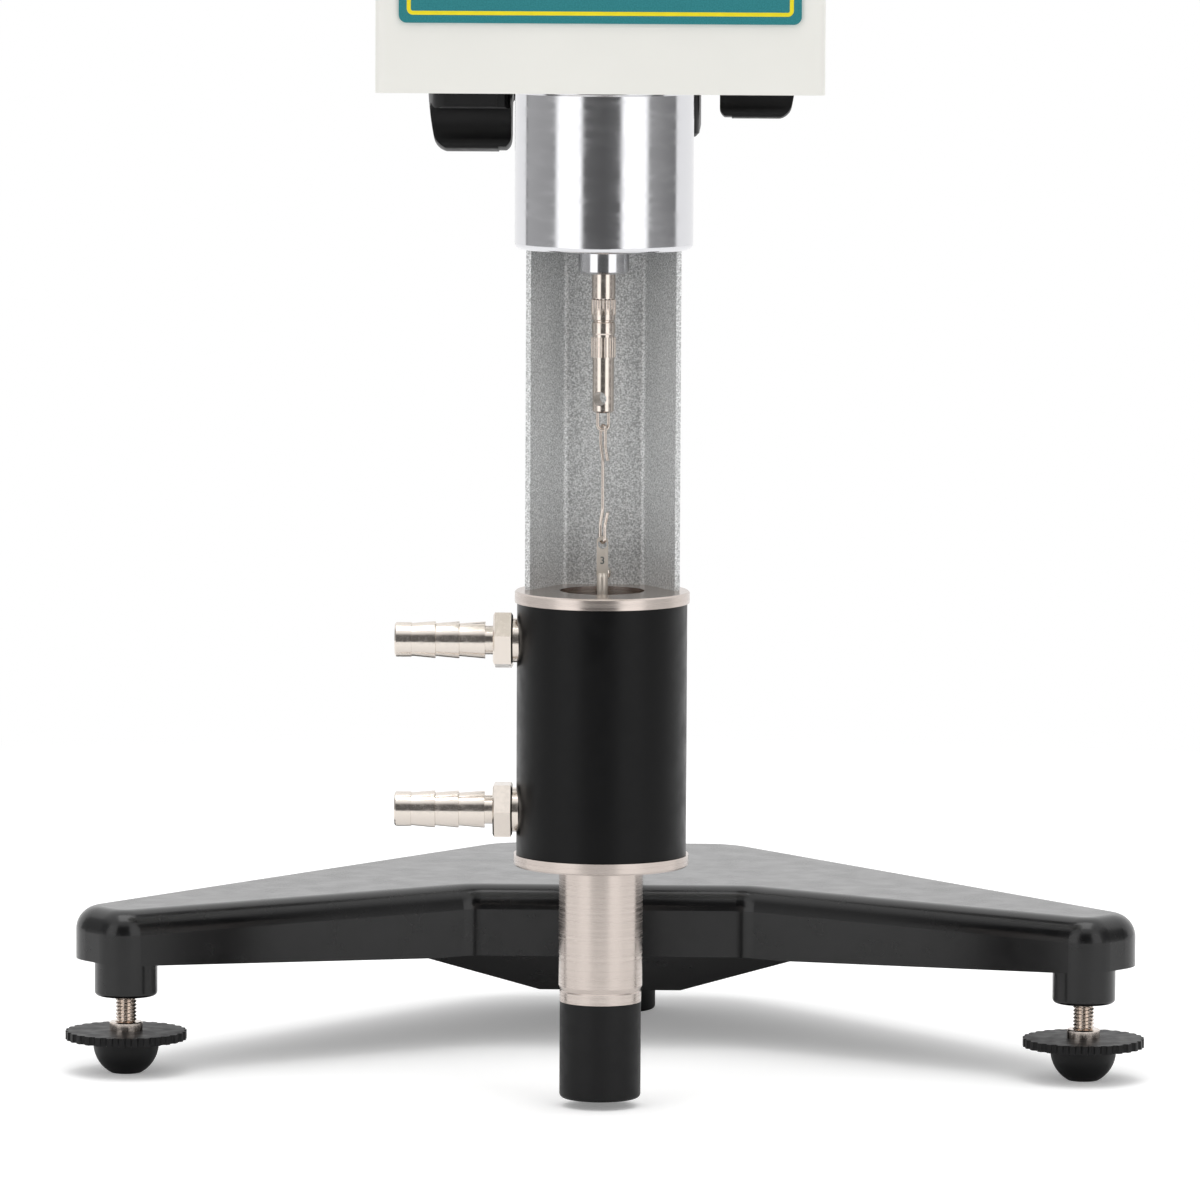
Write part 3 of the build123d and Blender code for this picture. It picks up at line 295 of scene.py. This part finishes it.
def stainless():
    """Turned stainless steel, a little warm, with fine rings from the tool."""
    finish = Finish("stainless", srgb(204, 193, 186), roughness=0.24, metallic=1.0)
    finish.bump(finish.noise(size=0.25, stretch=RINGS_Z, detail=3.0), depth=0.001, strength=0.2)
    finish.gloss(finish.noise(size=0.8, stretch=RINGS_Z, detail=5.0), least=0.20, most=0.30)
    return finish.material


def ground_steel():
    """Bright steel with fine rings and uneven gloss."""
    finish = Finish("ground_steel", srgb(214, 213, 211), roughness=0.16, metallic=1.0)
    finish.bump(finish.noise(size=0.15, stretch=RINGS_Z, detail=2.0), depth=0.004, strength=0.6)
    finish.gloss(finish.noise(size=6.0, stretch=(1, 1, 0.3), detail=4.0), least=0.12, most=0.24)
    return finish.material


def nickel():
    """Nickel plate on turned fittings along X."""
    finish = Finish("nickel", srgb(228, 219, 210), roughness=0.17, metallic=1.0)
    finish.bump(finish.noise(size=0.12, stretch=RINGS_X, detail=2.0), depth=0.006, strength=0.6)
    finish.gloss(finish.noise(size=1.2, detail=4.0), least=0.12, most=0.26)
    return finish.material


def nickel_upright():
    """Nickel plate on turned pieces along Z."""
    finish = Finish("nickel_upright", srgb(222, 211, 202), roughness=0.16, metallic=1.0)
    finish.bump(finish.noise(size=0.10, stretch=RINGS_Z, detail=2.0), depth=0.005, strength=0.6)
    finish.gloss(finish.noise(size=0.9, detail=4.0), least=0.10, most=0.24)
    return finish.material


def satin_nickel():
    """Pale plate of the measuring spindle and its tag."""
    finish = Finish("satin_nickel", srgb(226, 217, 206), roughness=0.34, metallic=0.55)
    finish.bump(finish.noise(size=0.2, detail=2.0), depth=0.004, strength=0.4)
    finish.gloss(finish.noise(size=1.5, detail=4.0), least=0.28, most=0.40)
    return finish.material


def hammered_silver():
    """Silver paint with coarse flakes, which sparkles."""
    finish = Finish("hammered_silver", srgb(214, 214, 214), roughness=0.42, metallic=0.5)
    grain = finish.noise(size=0.40, detail=3.0)
    finish.tint(grain, srgb(170, 171, 171), srgb(250, 251, 251), low=0.36, high=0.68)
    finish.bump(grain, depth=0.07, strength=0.6)
    finish.bump(finish.cells(size=0.7), depth=0.03, strength=0.35)
    finish.gloss(finish.noise(size=0.3), least=0.34, most=0.55)
    return finish.material


def black_anodised():
    """Black anodised aluminium of the jacket."""
    finish = Finish("black_anodised", srgb(8, 8, 9), roughness=0.36, specular=0.18)
    finish.bump(finish.noise(size=0.3, stretch=RINGS_Z, detail=3.0), depth=0.004, strength=0.5)
    finish.gloss(finish.noise(size=5.0, detail=5.0), least=0.30, most=0.40)
    return finish.material


def black_plastic():
    """Moulded black plastic with a fine spark texture."""
    finish = Finish("black_plastic", srgb(17, 17, 18), roughness=0.44, specular=0.24)
    finish.bump(finish.noise(size=0.25, detail=2.0), depth=0.012, strength=0.5)
    finish.gloss(finish.noise(size=4.0, detail=4.0), least=0.38, most=0.50)
    return finish.material


def black_metal():
    """Black painted metal."""
    finish = Finish("black_metal", srgb(20, 20, 21), roughness=0.40, specular=0.3)
    finish.bump(finish.noise(size=0.5, detail=2.0), depth=0.02, strength=0.5)
    return finish.material


def rubber():
    """Dull black rubber."""
    finish = Finish("rubber", srgb(24, 24, 24), roughness=0.72, specular=0.3)
    finish.bump(finish.noise(size=0.6, detail=3.0), depth=0.03, strength=0.5)
    return finish.material


def panel_film():
    """Teal printed film with a very fine pebble texture."""
    finish = Finish("panel_film", srgb(47, 130, 136), roughness=0.38, specular=0.4)
    finish.bump(finish.cells(size=0.35), depth=0.02, strength=0.4)
    finish.tint(finish.noise(size=0.4, detail=1.0), srgb(43, 125, 131), srgb(52, 136, 142))
    return finish.material


def line_print():
    """Yellow print of the panel's line."""
    finish = Finish("line_print", srgb(244, 226, 38), roughness=0.40)
    finish.bump(finish.cells(size=0.35), depth=0.02, strength=0.4)
    finish.shades(finish.noise(size=3.0), spread=0.03)
    return finish.material


def key_film():
    """Pale printed film of the keys."""
    finish = Finish("key_film", srgb(226, 228, 224), roughness=0.42)
    finish.bump(finish.cells(size=0.35), depth=0.02, strength=0.4)
    finish.shades(finish.noise(size=2.0), spread=0.02)
    return finish.material


def dark_print():
    """Dark ink of signs, letters and numerals."""
    finish = Finish("dark_print", srgb(28, 52, 58), roughness=0.45)
    finish.bump(finish.cells(size=0.35), depth=0.015, strength=0.4)
    finish.shades(finish.noise(size=1.0), spread=0.08)
    return finish.material


def window_film():
    """Clear film of the display's window."""
    finish = Finish("window_film", srgb(200, 220, 215), roughness=0.06, alpha=0.16)
    finish.bump(finish.noise(size=30.0), depth=0.02, strength=0.2)
    return finish.material


def liquid_crystal():
    """Green-grey display with a fine grain."""
    finish = Finish("liquid_crystal", srgb(168, 186, 152), roughness=0.35)
    finish.shades(finish.noise(size=0.25, detail=1.0), spread=0.05)
    return finish.material


def circuit_board():
    """Green board with darker and lighter patches."""
    finish = Finish("circuit_board", srgb(24, 96, 52), roughness=0.35)
    traces = finish.cells(size=3.0, stretch=(1, 0.2, 1), feature="F1")
    finish.tint(traces, srgb(18, 78, 42), srgb(40, 120, 66))
    finish.bump(finish.noise(size=1.2), depth=0.03, strength=0.5)
    return finish.material


def bronze():
    """Bronze of the bush and the spring."""
    finish = Finish("bronze", srgb(186, 148, 92), roughness=0.30, metallic=1.0)
    finish.bump(finish.noise(size=0.2, detail=2.0), depth=0.01, strength=0.5)
    return finish.material


def vial_liquid():
    """Yellow-green liquid of the bubble level."""
    finish = Finish("vial_liquid", srgb(206, 222, 70), roughness=0.05, alpha=0.55)
    finish.bump(finish.noise(size=20.0), depth=0.02, strength=0.1)
    return finish.material


FINISHES = {
    cast_paint: ["base_casting"],
    rubber: ["rear_foot"],
    ground_steel: ["column_rod", "column_nut", "mounting_bar", "pinion_shaft", "lock_screw", "drive_shaft",
                   "pivot_shaft", "chassis_pillars", "drive_motor", "data_socket", "spindle_bearing"],
    black_plastic: ["column_cap", "lift_knob", "lock_knob", "left_levelling_wheel", "right_levelling_wheel",
                    "left_foot_pad", "right_foot_pad", "tube_cap", "power_switch", "power_rocker",
                    "power_inlet", "optical_sensor"],
    black_metal: ["clamp_block", "encoder_disc"],
    bronze: ["guide_bush", "torsion_spring"],
    cream_paint: ["front_housing", "rear_cover", "bottom_plate"],
    nickel: ["cover_screws", "hose_barbs", "channel_screw"],
    nickel_upright: ["spindle_coupling", "hook_link", "left_levelling_screw", "right_levelling_screw"],
    satin_nickel: ["measuring_spindle"],
    panel_film: ["front_panel"],
    window_film: ["display_window"],
    circuit_board: ["display_board", "main_board"],
    polished_aluminium: ["guard_cylinder", "pivot_cup", "mounting_flange"],
    satin_aluminium: ["level_ring", "chassis_plate"],
    vial_liquid: ["level_vial"],
    hammered_silver: ["adapter_channel"],
    black_anodised: ["jacket_body"],
    stainless: ["jacket_end_rings", "inner_sleeve", "sample_tube"],
    key_film: ["key_up", "key_down", "key_confirm", "key_run", "key_stop"],
}


def dress_nodes():
    """Give every node its finish."""
    for make, nodes in FINISHES.items():
        material = make()
        for node in nodes:
            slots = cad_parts[node].data.materials
            slots.clear()
            slots.append(material)


def photo_camera():
    """Camera that looks past the measuring axis at the photograph's angle."""
    azimuth = math.radians(camera_azimuth)
    back = Vector((math.sin(azimuth), -math.cos(azimuth), 0))
    right = Vector((math.cos(azimuth), math.sin(azimuth), 0))
    axis = middle("spindle_coupling")
    position = axis + back * camera_distance
    position.z = camera_height
    target = axis - right * centre_beside_axis
    target.z = centre_height
    data = bpy.data.cameras.new("photo_camera")
    data.lens = lens
    data.sensor_width = sensor
    data.clip_start = 0.1
    data.clip_end = 50
    camera = bpy.data.objects.new("photo_camera", data)
    bpy.context.scene.collection.objects.link(camera)
    turn = (target - position).to_track_quat("-Z", "Y").to_matrix()
    turn = turn @ Matrix.Rotation(math.radians(camera_roll), 3, "Z")
    camera.matrix_world = Matrix.Translation(position) @ turn.to_4x4()
    bpy.context.scene.camera = camera


# Brightness of the studio round the object: degrees from straight in front, positive to the right
STUDIO_WALLS = [
    (-180, 1.0), (-121, 1.0), (-119, 0.22), (-114, 0.44), (-90, 0.40), (-66, 0.36), (-60, 1.5), (-30, 1.5),
    (-25, 0.14), (0, 0.11), (21, 0.15), (26, 1.5), (56, 1.5), (62, 0.36), (85, 0.28), (106, 0.22),
    (110, 1.0), (180, 1.0),
]


def studio_world():
    """White for the camera; for light and reflections, two tall soft boxes in a grey studio."""
    world = bpy.data.worlds.new("studio")
    bpy.context.scene.world = world
    world.use_nodes = True
    tree = world.node_tree
    nodes, links = tree.nodes, tree.links
    nodes.clear()

    direction = nodes.new("ShaderNodeTexCoord")
    parts = nodes.new("ShaderNodeSeparateXYZ")
    links.new(direction.outputs["Generated"], parts.inputs[0])
    forward = nodes.new("ShaderNodeMath")
    forward.operation = "MULTIPLY"
    forward.inputs[1].default_value = -1.0
    links.new(parts.outputs["Y"], forward.inputs[0])
    angle = nodes.new("ShaderNodeMath")
    angle.operation = "ARCTAN2"
    links.new(parts.outputs["X"], angle.inputs[0])
    links.new(forward.outputs[0], angle.inputs[1])
    share = nodes.new("ShaderNodeMapRange")
    share.inputs["From Min"].default_value = -math.pi
    share.inputs["From Max"].default_value = math.pi
    links.new(angle.outputs[0], share.inputs["Value"])

    walls = nodes.new("ShaderNodeValToRGB")
    elements = walls.color_ramp.elements
    while len(elements) < len(STUDIO_WALLS):
        elements.new(0.5)
    for element, (degrees, level) in zip(elements, STUDIO_WALLS):
        element.position = (degrees + 180) / 360
        element.color = (level, level, level, 1.0)
    links.new(share.outputs["Result"], walls.inputs["Fac"])

    ceiling = nodes.new("ShaderNodeMapRange")
    ceiling.inputs["From Min"].default_value = ceiling_start
    ceiling.inputs["From Max"].default_value = ceiling_end
    links.new(parts.outputs["Z"], ceiling.inputs["Value"])
    blend = nodes.new("ShaderNodeMix")
    blend.data_type = "RGBA"
    blend.inputs["B"].default_value = (ceiling_level, ceiling_level, ceiling_level, 1.0)
    links.new(ceiling.outputs["Result"], blend.inputs["Factor"])
    links.new(walls.outputs["Color"], blend.inputs["A"])

    studio = nodes.new("ShaderNodeBackground")
    links.new(blend.outputs["Result"], studio.inputs["Color"])
    white = nodes.new("ShaderNodeBackground")
    white.inputs["Color"].default_value = (1, 1, 1, 1)
    path = nodes.new("ShaderNodeLightPath")
    seen = nodes.new("ShaderNodeMath")
    seen.operation = "MAXIMUM"
    links.new(path.outputs["Is Camera Ray"], seen.inputs[0])
    links.new(path.outputs["Is Transmission Ray"], seen.inputs[1])
    choice = nodes.new("ShaderNodeMixShader")
    links.new(seen.outputs[0], choice.inputs["Fac"])
    links.new(studio.outputs[0], choice.inputs[1])
    links.new(white.outputs[0], choice.inputs[2])
    output = nodes.new("ShaderNodeOutputWorld")
    links.new(choice.outputs[0], output.inputs["Surface"])


def floor_material():
    """White floor that keeps shadows near the object and turns plain white further out."""
    material = bpy.data.materials.new("floor_white")
    material.use_nodes = True
    tree = material.node_tree
    nodes, links = tree.nodes, tree.links
    nodes.clear()

    coordinates = nodes.new("ShaderNodeTexCoord")
    offset = nodes.new("ShaderNodeVectorMath")
    offset.operation = "SUBTRACT"
    offset.inputs[1].default_value = fade_centre
    links.new(coordinates.outputs["Object"], offset.inputs[0])
    length = nodes.new("ShaderNodeVectorMath")
    length.operation = "LENGTH"
    links.new(offset.outputs[0], length.inputs[0])
    fade = nodes.new("ShaderNodeMapRange")
    fade.interpolation_type = "SMOOTHSTEP"
    fade.inputs["From Min"].default_value = fade_start
    fade.inputs["From Max"].default_value = fade_end
    links.new(length.outputs["Value"], fade.inputs["Value"])

    diffuse = nodes.new("ShaderNodeBsdfDiffuse")
    diffuse.inputs["Color"].default_value = (floor_shade, floor_shade, floor_shade, 1)
    glow = nodes.new("ShaderNodeEmission")
    path = nodes.new("ShaderNodeLightPath")
    camera_glow = nodes.new("ShaderNodeMath")
    camera_glow.operation = "MULTIPLY"
    camera_glow.inputs[1].default_value = floor_glow
    links.new(path.outputs["Is Camera Ray"], camera_glow.inputs[0])
    links.new(camera_glow.outputs[0], glow.inputs["Strength"])
    near = nodes.new("ShaderNodeAddShader")
    links.new(diffuse.outputs[0], near.inputs[0])
    links.new(glow.outputs[0], near.inputs[1])

    far = nodes.new("ShaderNodeEmission")
    outside = nodes.new("ShaderNodeMath")
    outside.operation = "MULTIPLY"
    links.new(fade.outputs["Result"], outside.inputs[0])
    links.new(path.outputs["Is Camera Ray"], outside.inputs[1])
    choice = nodes.new("ShaderNodeMixShader")
    links.new(outside.outputs[0], choice.inputs["Fac"])
    links.new(near.outputs[0], choice.inputs[1])
    links.new(far.outputs[0], choice.inputs[2])
    output = nodes.new("ShaderNodeOutputMaterial")
    links.new(choice.outputs[0], output.inputs["Surface"])
    return material


def mesh_piece(name, vertices, faces, material, smooth=False):
    """A new mesh object of one material."""
    mesh = bpy.data.meshes.new(name)
    mesh.from_pydata(vertices, [], faces)
    mesh.validate()
    mesh.update()
    if smooth:
        mesh.polygons.foreach_set("use_smooth", [True] * len(mesh.polygons))
    mesh.materials.append(material)
    piece = bpy.data.objects.new(name, mesh)
    bpy.context.scene.collection.objects.link(piece)
    return piece


def along_wall(outline, x, z, front):
    """Places of a flat outline, given in millimetres, on a wall that faces the reader."""
    return [(x + across * MM, front, z + up * MM) for across, up in outline]


def rounded_rectangle(half_width, half_height, radius, steps=6):
    """Outline of a rounded rectangle, anticlockwise as the reader sees it."""
    outline = []
    for turn, (side, level) in enumerate(((1, 1), (-1, 1), (-1, -1), (1, -1))):
        for step in range(steps + 1):
            angle = math.radians(90 * (turn + step / steps))
            outline.append((side * (half_width - radius) + radius * math.cos(angle),
                            level * (half_height - radius) + radius * math.sin(angle)))
    return outline


def printed(name, outline, x, z, front, body, material, hole=None):
    """A thin raised print, with an optional hole whose outline has as many points."""
    count = len(outline)
    rings = [outline] if hole is None else [outline, hole]
    vertices = []
    for depth in (front - print_thickness * MM, front + print_sink * MM):
        for ring in rings:
            vertices += along_wall(ring, x, z, depth)
    faces = []
    back = len(rings) * count
    for k in range(count):
        n = (k + 1) % count
        faces.append((k, back + k, back + n, n))
        if hole is not None:
            faces.append((count + k, count + n, back + count + n, back + count + k))
            faces.append((k, n, count + n, count + k))
            faces.append((back + k, back + count + k, back + count + n, back + n))
    if hole is None:
        faces.append(tuple(range(count)))
        faces.append(tuple(range(2 * count - 1, count - 1, -1)))
    piece = mesh_piece(name, vertices, faces, material)
    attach(piece, body)


def lettering(name, words, height, x, z, front, body, material):
    """Raised words that face the reader, centred on a place."""
    curve = bpy.data.curves.new(name, "FONT")
    curve.body = words
    curve.size = height * MM / letter_share
    curve.align_x = "CENTER"
    curve.align_y = "CENTER"
    curve.extrude = (print_thickness + print_sink) * MM / 2
    source = bpy.data.objects.new(name + "_source", curve)
    bpy.context.scene.collection.objects.link(source)
    bpy.context.view_layer.update()
    mesh = bpy.data.meshes.new_from_object(source.evaluated_get(bpy.context.evaluated_depsgraph_get()))
    bpy.data.objects.remove(source)
    depth = front + (print_sink - print_thickness) * MM / 2
    mesh.transform(Matrix.Translation((x, depth, z)) @ Matrix.Rotation(math.radians(90), 4, "X"))
    mesh.materials.clear()
    mesh.materials.append(material)
    piece = bpy.data.objects.new(name, mesh)
    bpy.context.scene.collection.objects.link(piece)
    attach(piece, body)


def panel_border():
    """Yellow line round the panel."""
    low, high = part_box("front_panel")
    centre = (low + high) / 2
    half_width = (high.x - low.x) / 2 / MM - line_inset
    half_height = (high.z - low.z) / 2 / MM - line_inset
    outer = rounded_rectangle(half_width, half_height, line_radius)
    inner = rounded_rectangle(half_width - line_width, half_height - line_width, line_radius - line_width)
    printed("panel_line", outer, centre.x, centre.z, low.y, "head", line_print(), inner)


# Outlines of the key symbols, in millimetres from the key's centre
KEY_SIGNS = {
    "key_up": [(-3.0, -1.8), (3.0, -1.8), (0, 2.6)],
    "key_down": [(-3.0, 1.8), (0, -2.6), (3.0, 1.8)],
    "key_confirm": [(-3.2, 0.2), (-1.0, -2.2), (3.4, 2.4), (2.6, 3.1), (-1.0, -0.7), (-2.4, 0.9)],
    "key_run": [(-2.2, -2.8), (3.0, 0), (-2.2, 2.8)],
    "key_stop": [(-2.3, -2.3), (2.3, -2.3), (2.3, 2.3), (-2.3, 2.3)],
}


def key_signs():
    """A printed symbol on each key."""
    material = dark_print()
    for key, outline in KEY_SIGNS.items():
        low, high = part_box(key)
        centre = (low + high) / 2
        printed(key + "_sign", outline, centre.x, centre.z, low.y, key, material)


def box_piece(name, low, high, body, material):
    """A plain block between two corners."""
    corners = [(x, y, z) for z in (low.z, high.z) for y in (low.y, high.y) for x in (low.x, high.x)]
    faces = [(0, 2, 3, 1), (4, 5, 7, 6), (0, 1, 5, 4), (1, 3, 7, 5), (3, 2, 6, 7), (2, 0, 4, 6)]
    piece = mesh_piece(name, corners, faces, material)
    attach(piece, body)
    return piece


def display():
    """Thin window, and behind it the lit face with its reading."""
    low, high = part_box("display_window")
    glass_back = Vector((high.x, low.y + glass_thickness * MM, high.z))
    glass = box_piece("window_glass", low, glass_back, "head", window_film())
    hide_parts("display_window")
    face_low = Vector((low.x, high.y - face_depth * MM, low.z))
    box_piece("display_face", face_low, high, "head", liquid_crystal())
    centre = (low + high) / 2
    ink = dark_print()
    for name, words, height, rise in DISPLAY_ROWS:
        lettering(name, words, height, centre.x, centre.z + rise * MM, face_low.y, "head", ink)


def tag_number():
    """Numeral on the measuring spindle's tag."""
    low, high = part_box("measuring_spindle")
    centre = (low + high) / 2
    lettering("tag_number", "3", number_height, centre.x, high.z - number_drop * MM,
              centre.y - tag_half_thickness * MM, "bob", dark_print())


def bubble():
    """Air bubble and target ring of the round level."""
    low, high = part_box("level_vial")
    centre = (low + high) / 2
    latitudes = [math.radians(degrees) for degrees in range(-80, 81, 20)]
    drop = [(bubble_radius * math.cos(a), bubble_rise * math.sin(a)) for a in latitudes]
    place = (centre.x, centre.y, high.z - bubble_depth * MM)
    round_piece("level_bubble", turned(drop, bubble_segments, False), place, UPRIGHT,
                "head", key_film())
    inner = target_radius - target_half_width
    outer = target_radius + target_half_width
    target = [(inner, 0), (outer, 0), (outer, target_thickness), (inner, target_thickness)]
    place = (centre.x, centre.y, high.z - target_sink * MM)
    round_piece("level_target", turned(target), place, UPRIGHT, "head", dark_print())


def lathe(rows, closed):
    """Vertices and faces of a round shape about Z, whose rows hold a radius and height per segment.

    A closed shape joins its last row to its first, and an open one gets a flat cap at both ends.
    """
    segments = len(rows[0])
    vertices = []
    for row in rows:
        for k, (radius, height) in enumerate(row):
            angle = 2 * math.pi * k / segments
            vertices.append((radius * math.cos(angle), radius * math.sin(angle), height))
    count = len(rows)
    faces = []
    for row in range(count if closed else count - 1):
        start = row * segments
        above = (row + 1) % count * segments
        for k in range(segments):
            n = (k + 1) % segments
            faces.append((start + k, start + n, above + n, above + k))
    if not closed:
        faces.append(tuple(range(segments - 1, -1, -1)))
        faces.append(tuple(range((count - 1) * segments, count * segments)))
    return vertices, faces


def turned(profile, segments=48, closed=True):
    """Vertices and faces of a solid of revolution about Z, from radius and height pairs."""
    return lathe([[pair] * segments for pair in profile], closed)


def joined(*shapes):
    """Several lists of vertices and faces as one."""
    vertices = []
    faces = []
    for points, polygons in shapes:
        start = len(vertices)
        vertices += points
        faces += [tuple(start + index for index in polygon) for polygon in polygons]
    return vertices, faces


def round_piece(name, shape, place, turn, body, material):
    """A turned shape in millimetres, set in place with smooth curved faces and sharp edges."""
    vertices, faces = shape
    piece = mesh_piece(name, vertices, faces, material, smooth=True)
    piece.data.transform(Matrix.Translation(place) @ turn @ Matrix.Scale(MM, 4))
    piece.data.set_sharp_from_angle(angle=math.radians(sharp_angle))
    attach(piece, body)
    return piece


def barb_shape():
    """Hose tail with three crests and a plain nose, its hexagon and its seat."""
    profile = [(barb_bore, -barb_root_depth), (barb_neck_radius, -barb_root_depth), (barb_neck_radius, 0.0)]
    profile += [(barb_seat_radius, 0.0), (barb_seat_radius, hex_start), (barb_neck_radius, hex_start)]
    place = hex_start + hex_height + barb_neck
    profile.append((barb_neck_radius, place))
    for step in barb_steps:
        profile += [(barb_crest, place), (barb_crest, place + barb_land), (barb_valley, place + step)]
        place += step
    end = place + nose_length
    profile += [(barb_nose, place), (barb_nose, end - nose_chamfer), (barb_nose - nose_chamfer, end)]
    profile.append((barb_bore, end))
    corner = hex_flats / 2 / math.cos(math.radians(30))
    inner = barb_neck_radius - hex_neck_overlap
    low = hex_start
    high = hex_start + hex_height
    nut = [(inner, low), (corner - hex_chamfer_width, low), (corner, low + hex_chamfer_height),
           (corner, high - hex_chamfer_height), (corner - hex_chamfer_width, high), (inner, high)]
    return joined(turned(profile), turned(nut, 6))


def hose_tails():
    """Two hose tails on the axes of the jacket's ports."""
    root_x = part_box("hose_barbs")[1].x - barb_root_depth * MM
    axis = middle("jacket_body")
    material = nickel()
    reach = Matrix.Rotation(math.radians(-90), 4, "Y")
    middle_z = axis.z + barb_middle_rise * MM
    half_span = barb_span * MM / 2
    tails = (("upper", middle_z + half_span, upper_hex_turn), ("lower", middle_z - half_span, lower_hex_turn))
    for name, z, turn in tails:
        spin = Matrix.Rotation(math.radians(turn), 4, "Z")
        tail = round_piece("hose_tail_" + name, barb_shape(), (root_x, axis.y, z), reach @ spin,
                           "head", material)
        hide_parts("hose_barbs")


def screw_shape():
    """Levelling screw with its pin, collar and a helical thread."""
    collar_top = screw_collar_z + screw_collar_height
    ends = [(screw_pin, 0.0), (screw_pin, screw_collar_z), (screw_collar, screw_collar_z + screw_row_gap),
            (screw_collar, collar_top - screw_collar_chamfer),
            (screw_collar - screw_collar_chamfer, collar_top)]
    rows = [[pair] * screw_segments for pair in ends]
    z = collar_top + screw_row_gap
    while z < screw_length:
        row = []
        for k in range(screw_segments):
            phase = (z / thread_pitch - k / screw_segments) % 1.0
            depth = thread_depth * abs(2 * phase - 1)
            row.append((screw_radius - depth, z))
        rows.append(row)
        z += thread_pitch / thread_rows
    rows.append([(screw_radius - thread_depth, screw_length)] * screw_segments)
    return lathe(rows, False)


def levelling_screws():
    """A threaded screw in place of each plain one."""
    material = nickel_upright()
    for side in ("left", "right"):
        node = side + "_levelling_screw"
        low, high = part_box(node)
        centre = (low + high) / 2
        place = (centre.x, centre.y, low.z)
        piece = round_piece(side + "_threaded_screw", screw_shape(), place, UPRIGHT,
                            side + "_screw", material)
        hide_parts(node)


def studio_floor():
    """Plain floor under the object."""
    corners = [(-floor_half, floor_front, 0), (floor_half, floor_front, 0),
               (floor_half, floor_back, 0), (-floor_half, floor_back, 0)]
    floor = mesh_piece("floor", corners, [(0, 1, 2, 3)], floor_material())


def studio_lamp():
    """A soft square lamp above the object."""
    data = bpy.data.lights.new("top_light", "AREA")
    data.shape = "SQUARE"
    data.size = lamp_size
    data.energy = lamp_power
    light = bpy.data.objects.new("top_light", data)
    bpy.context.scene.collection.objects.link(light)
    place = Vector(lamp_place)
    turn = (Vector(lamp_aim) - place).to_track_quat("-Z", "Y")
    light.matrix_world = Matrix.Translation(place) @ turn.to_matrix().to_4x4()


photo_camera()
studio_world()
studio_floor()
studio_lamp()
dress_nodes()
panel_border()
key_signs()
display()
tag_number()
bubble()
hose_tails()
levelling_screws()

view = bpy.context.scene.view_settings
view.view_transform = "Standard"
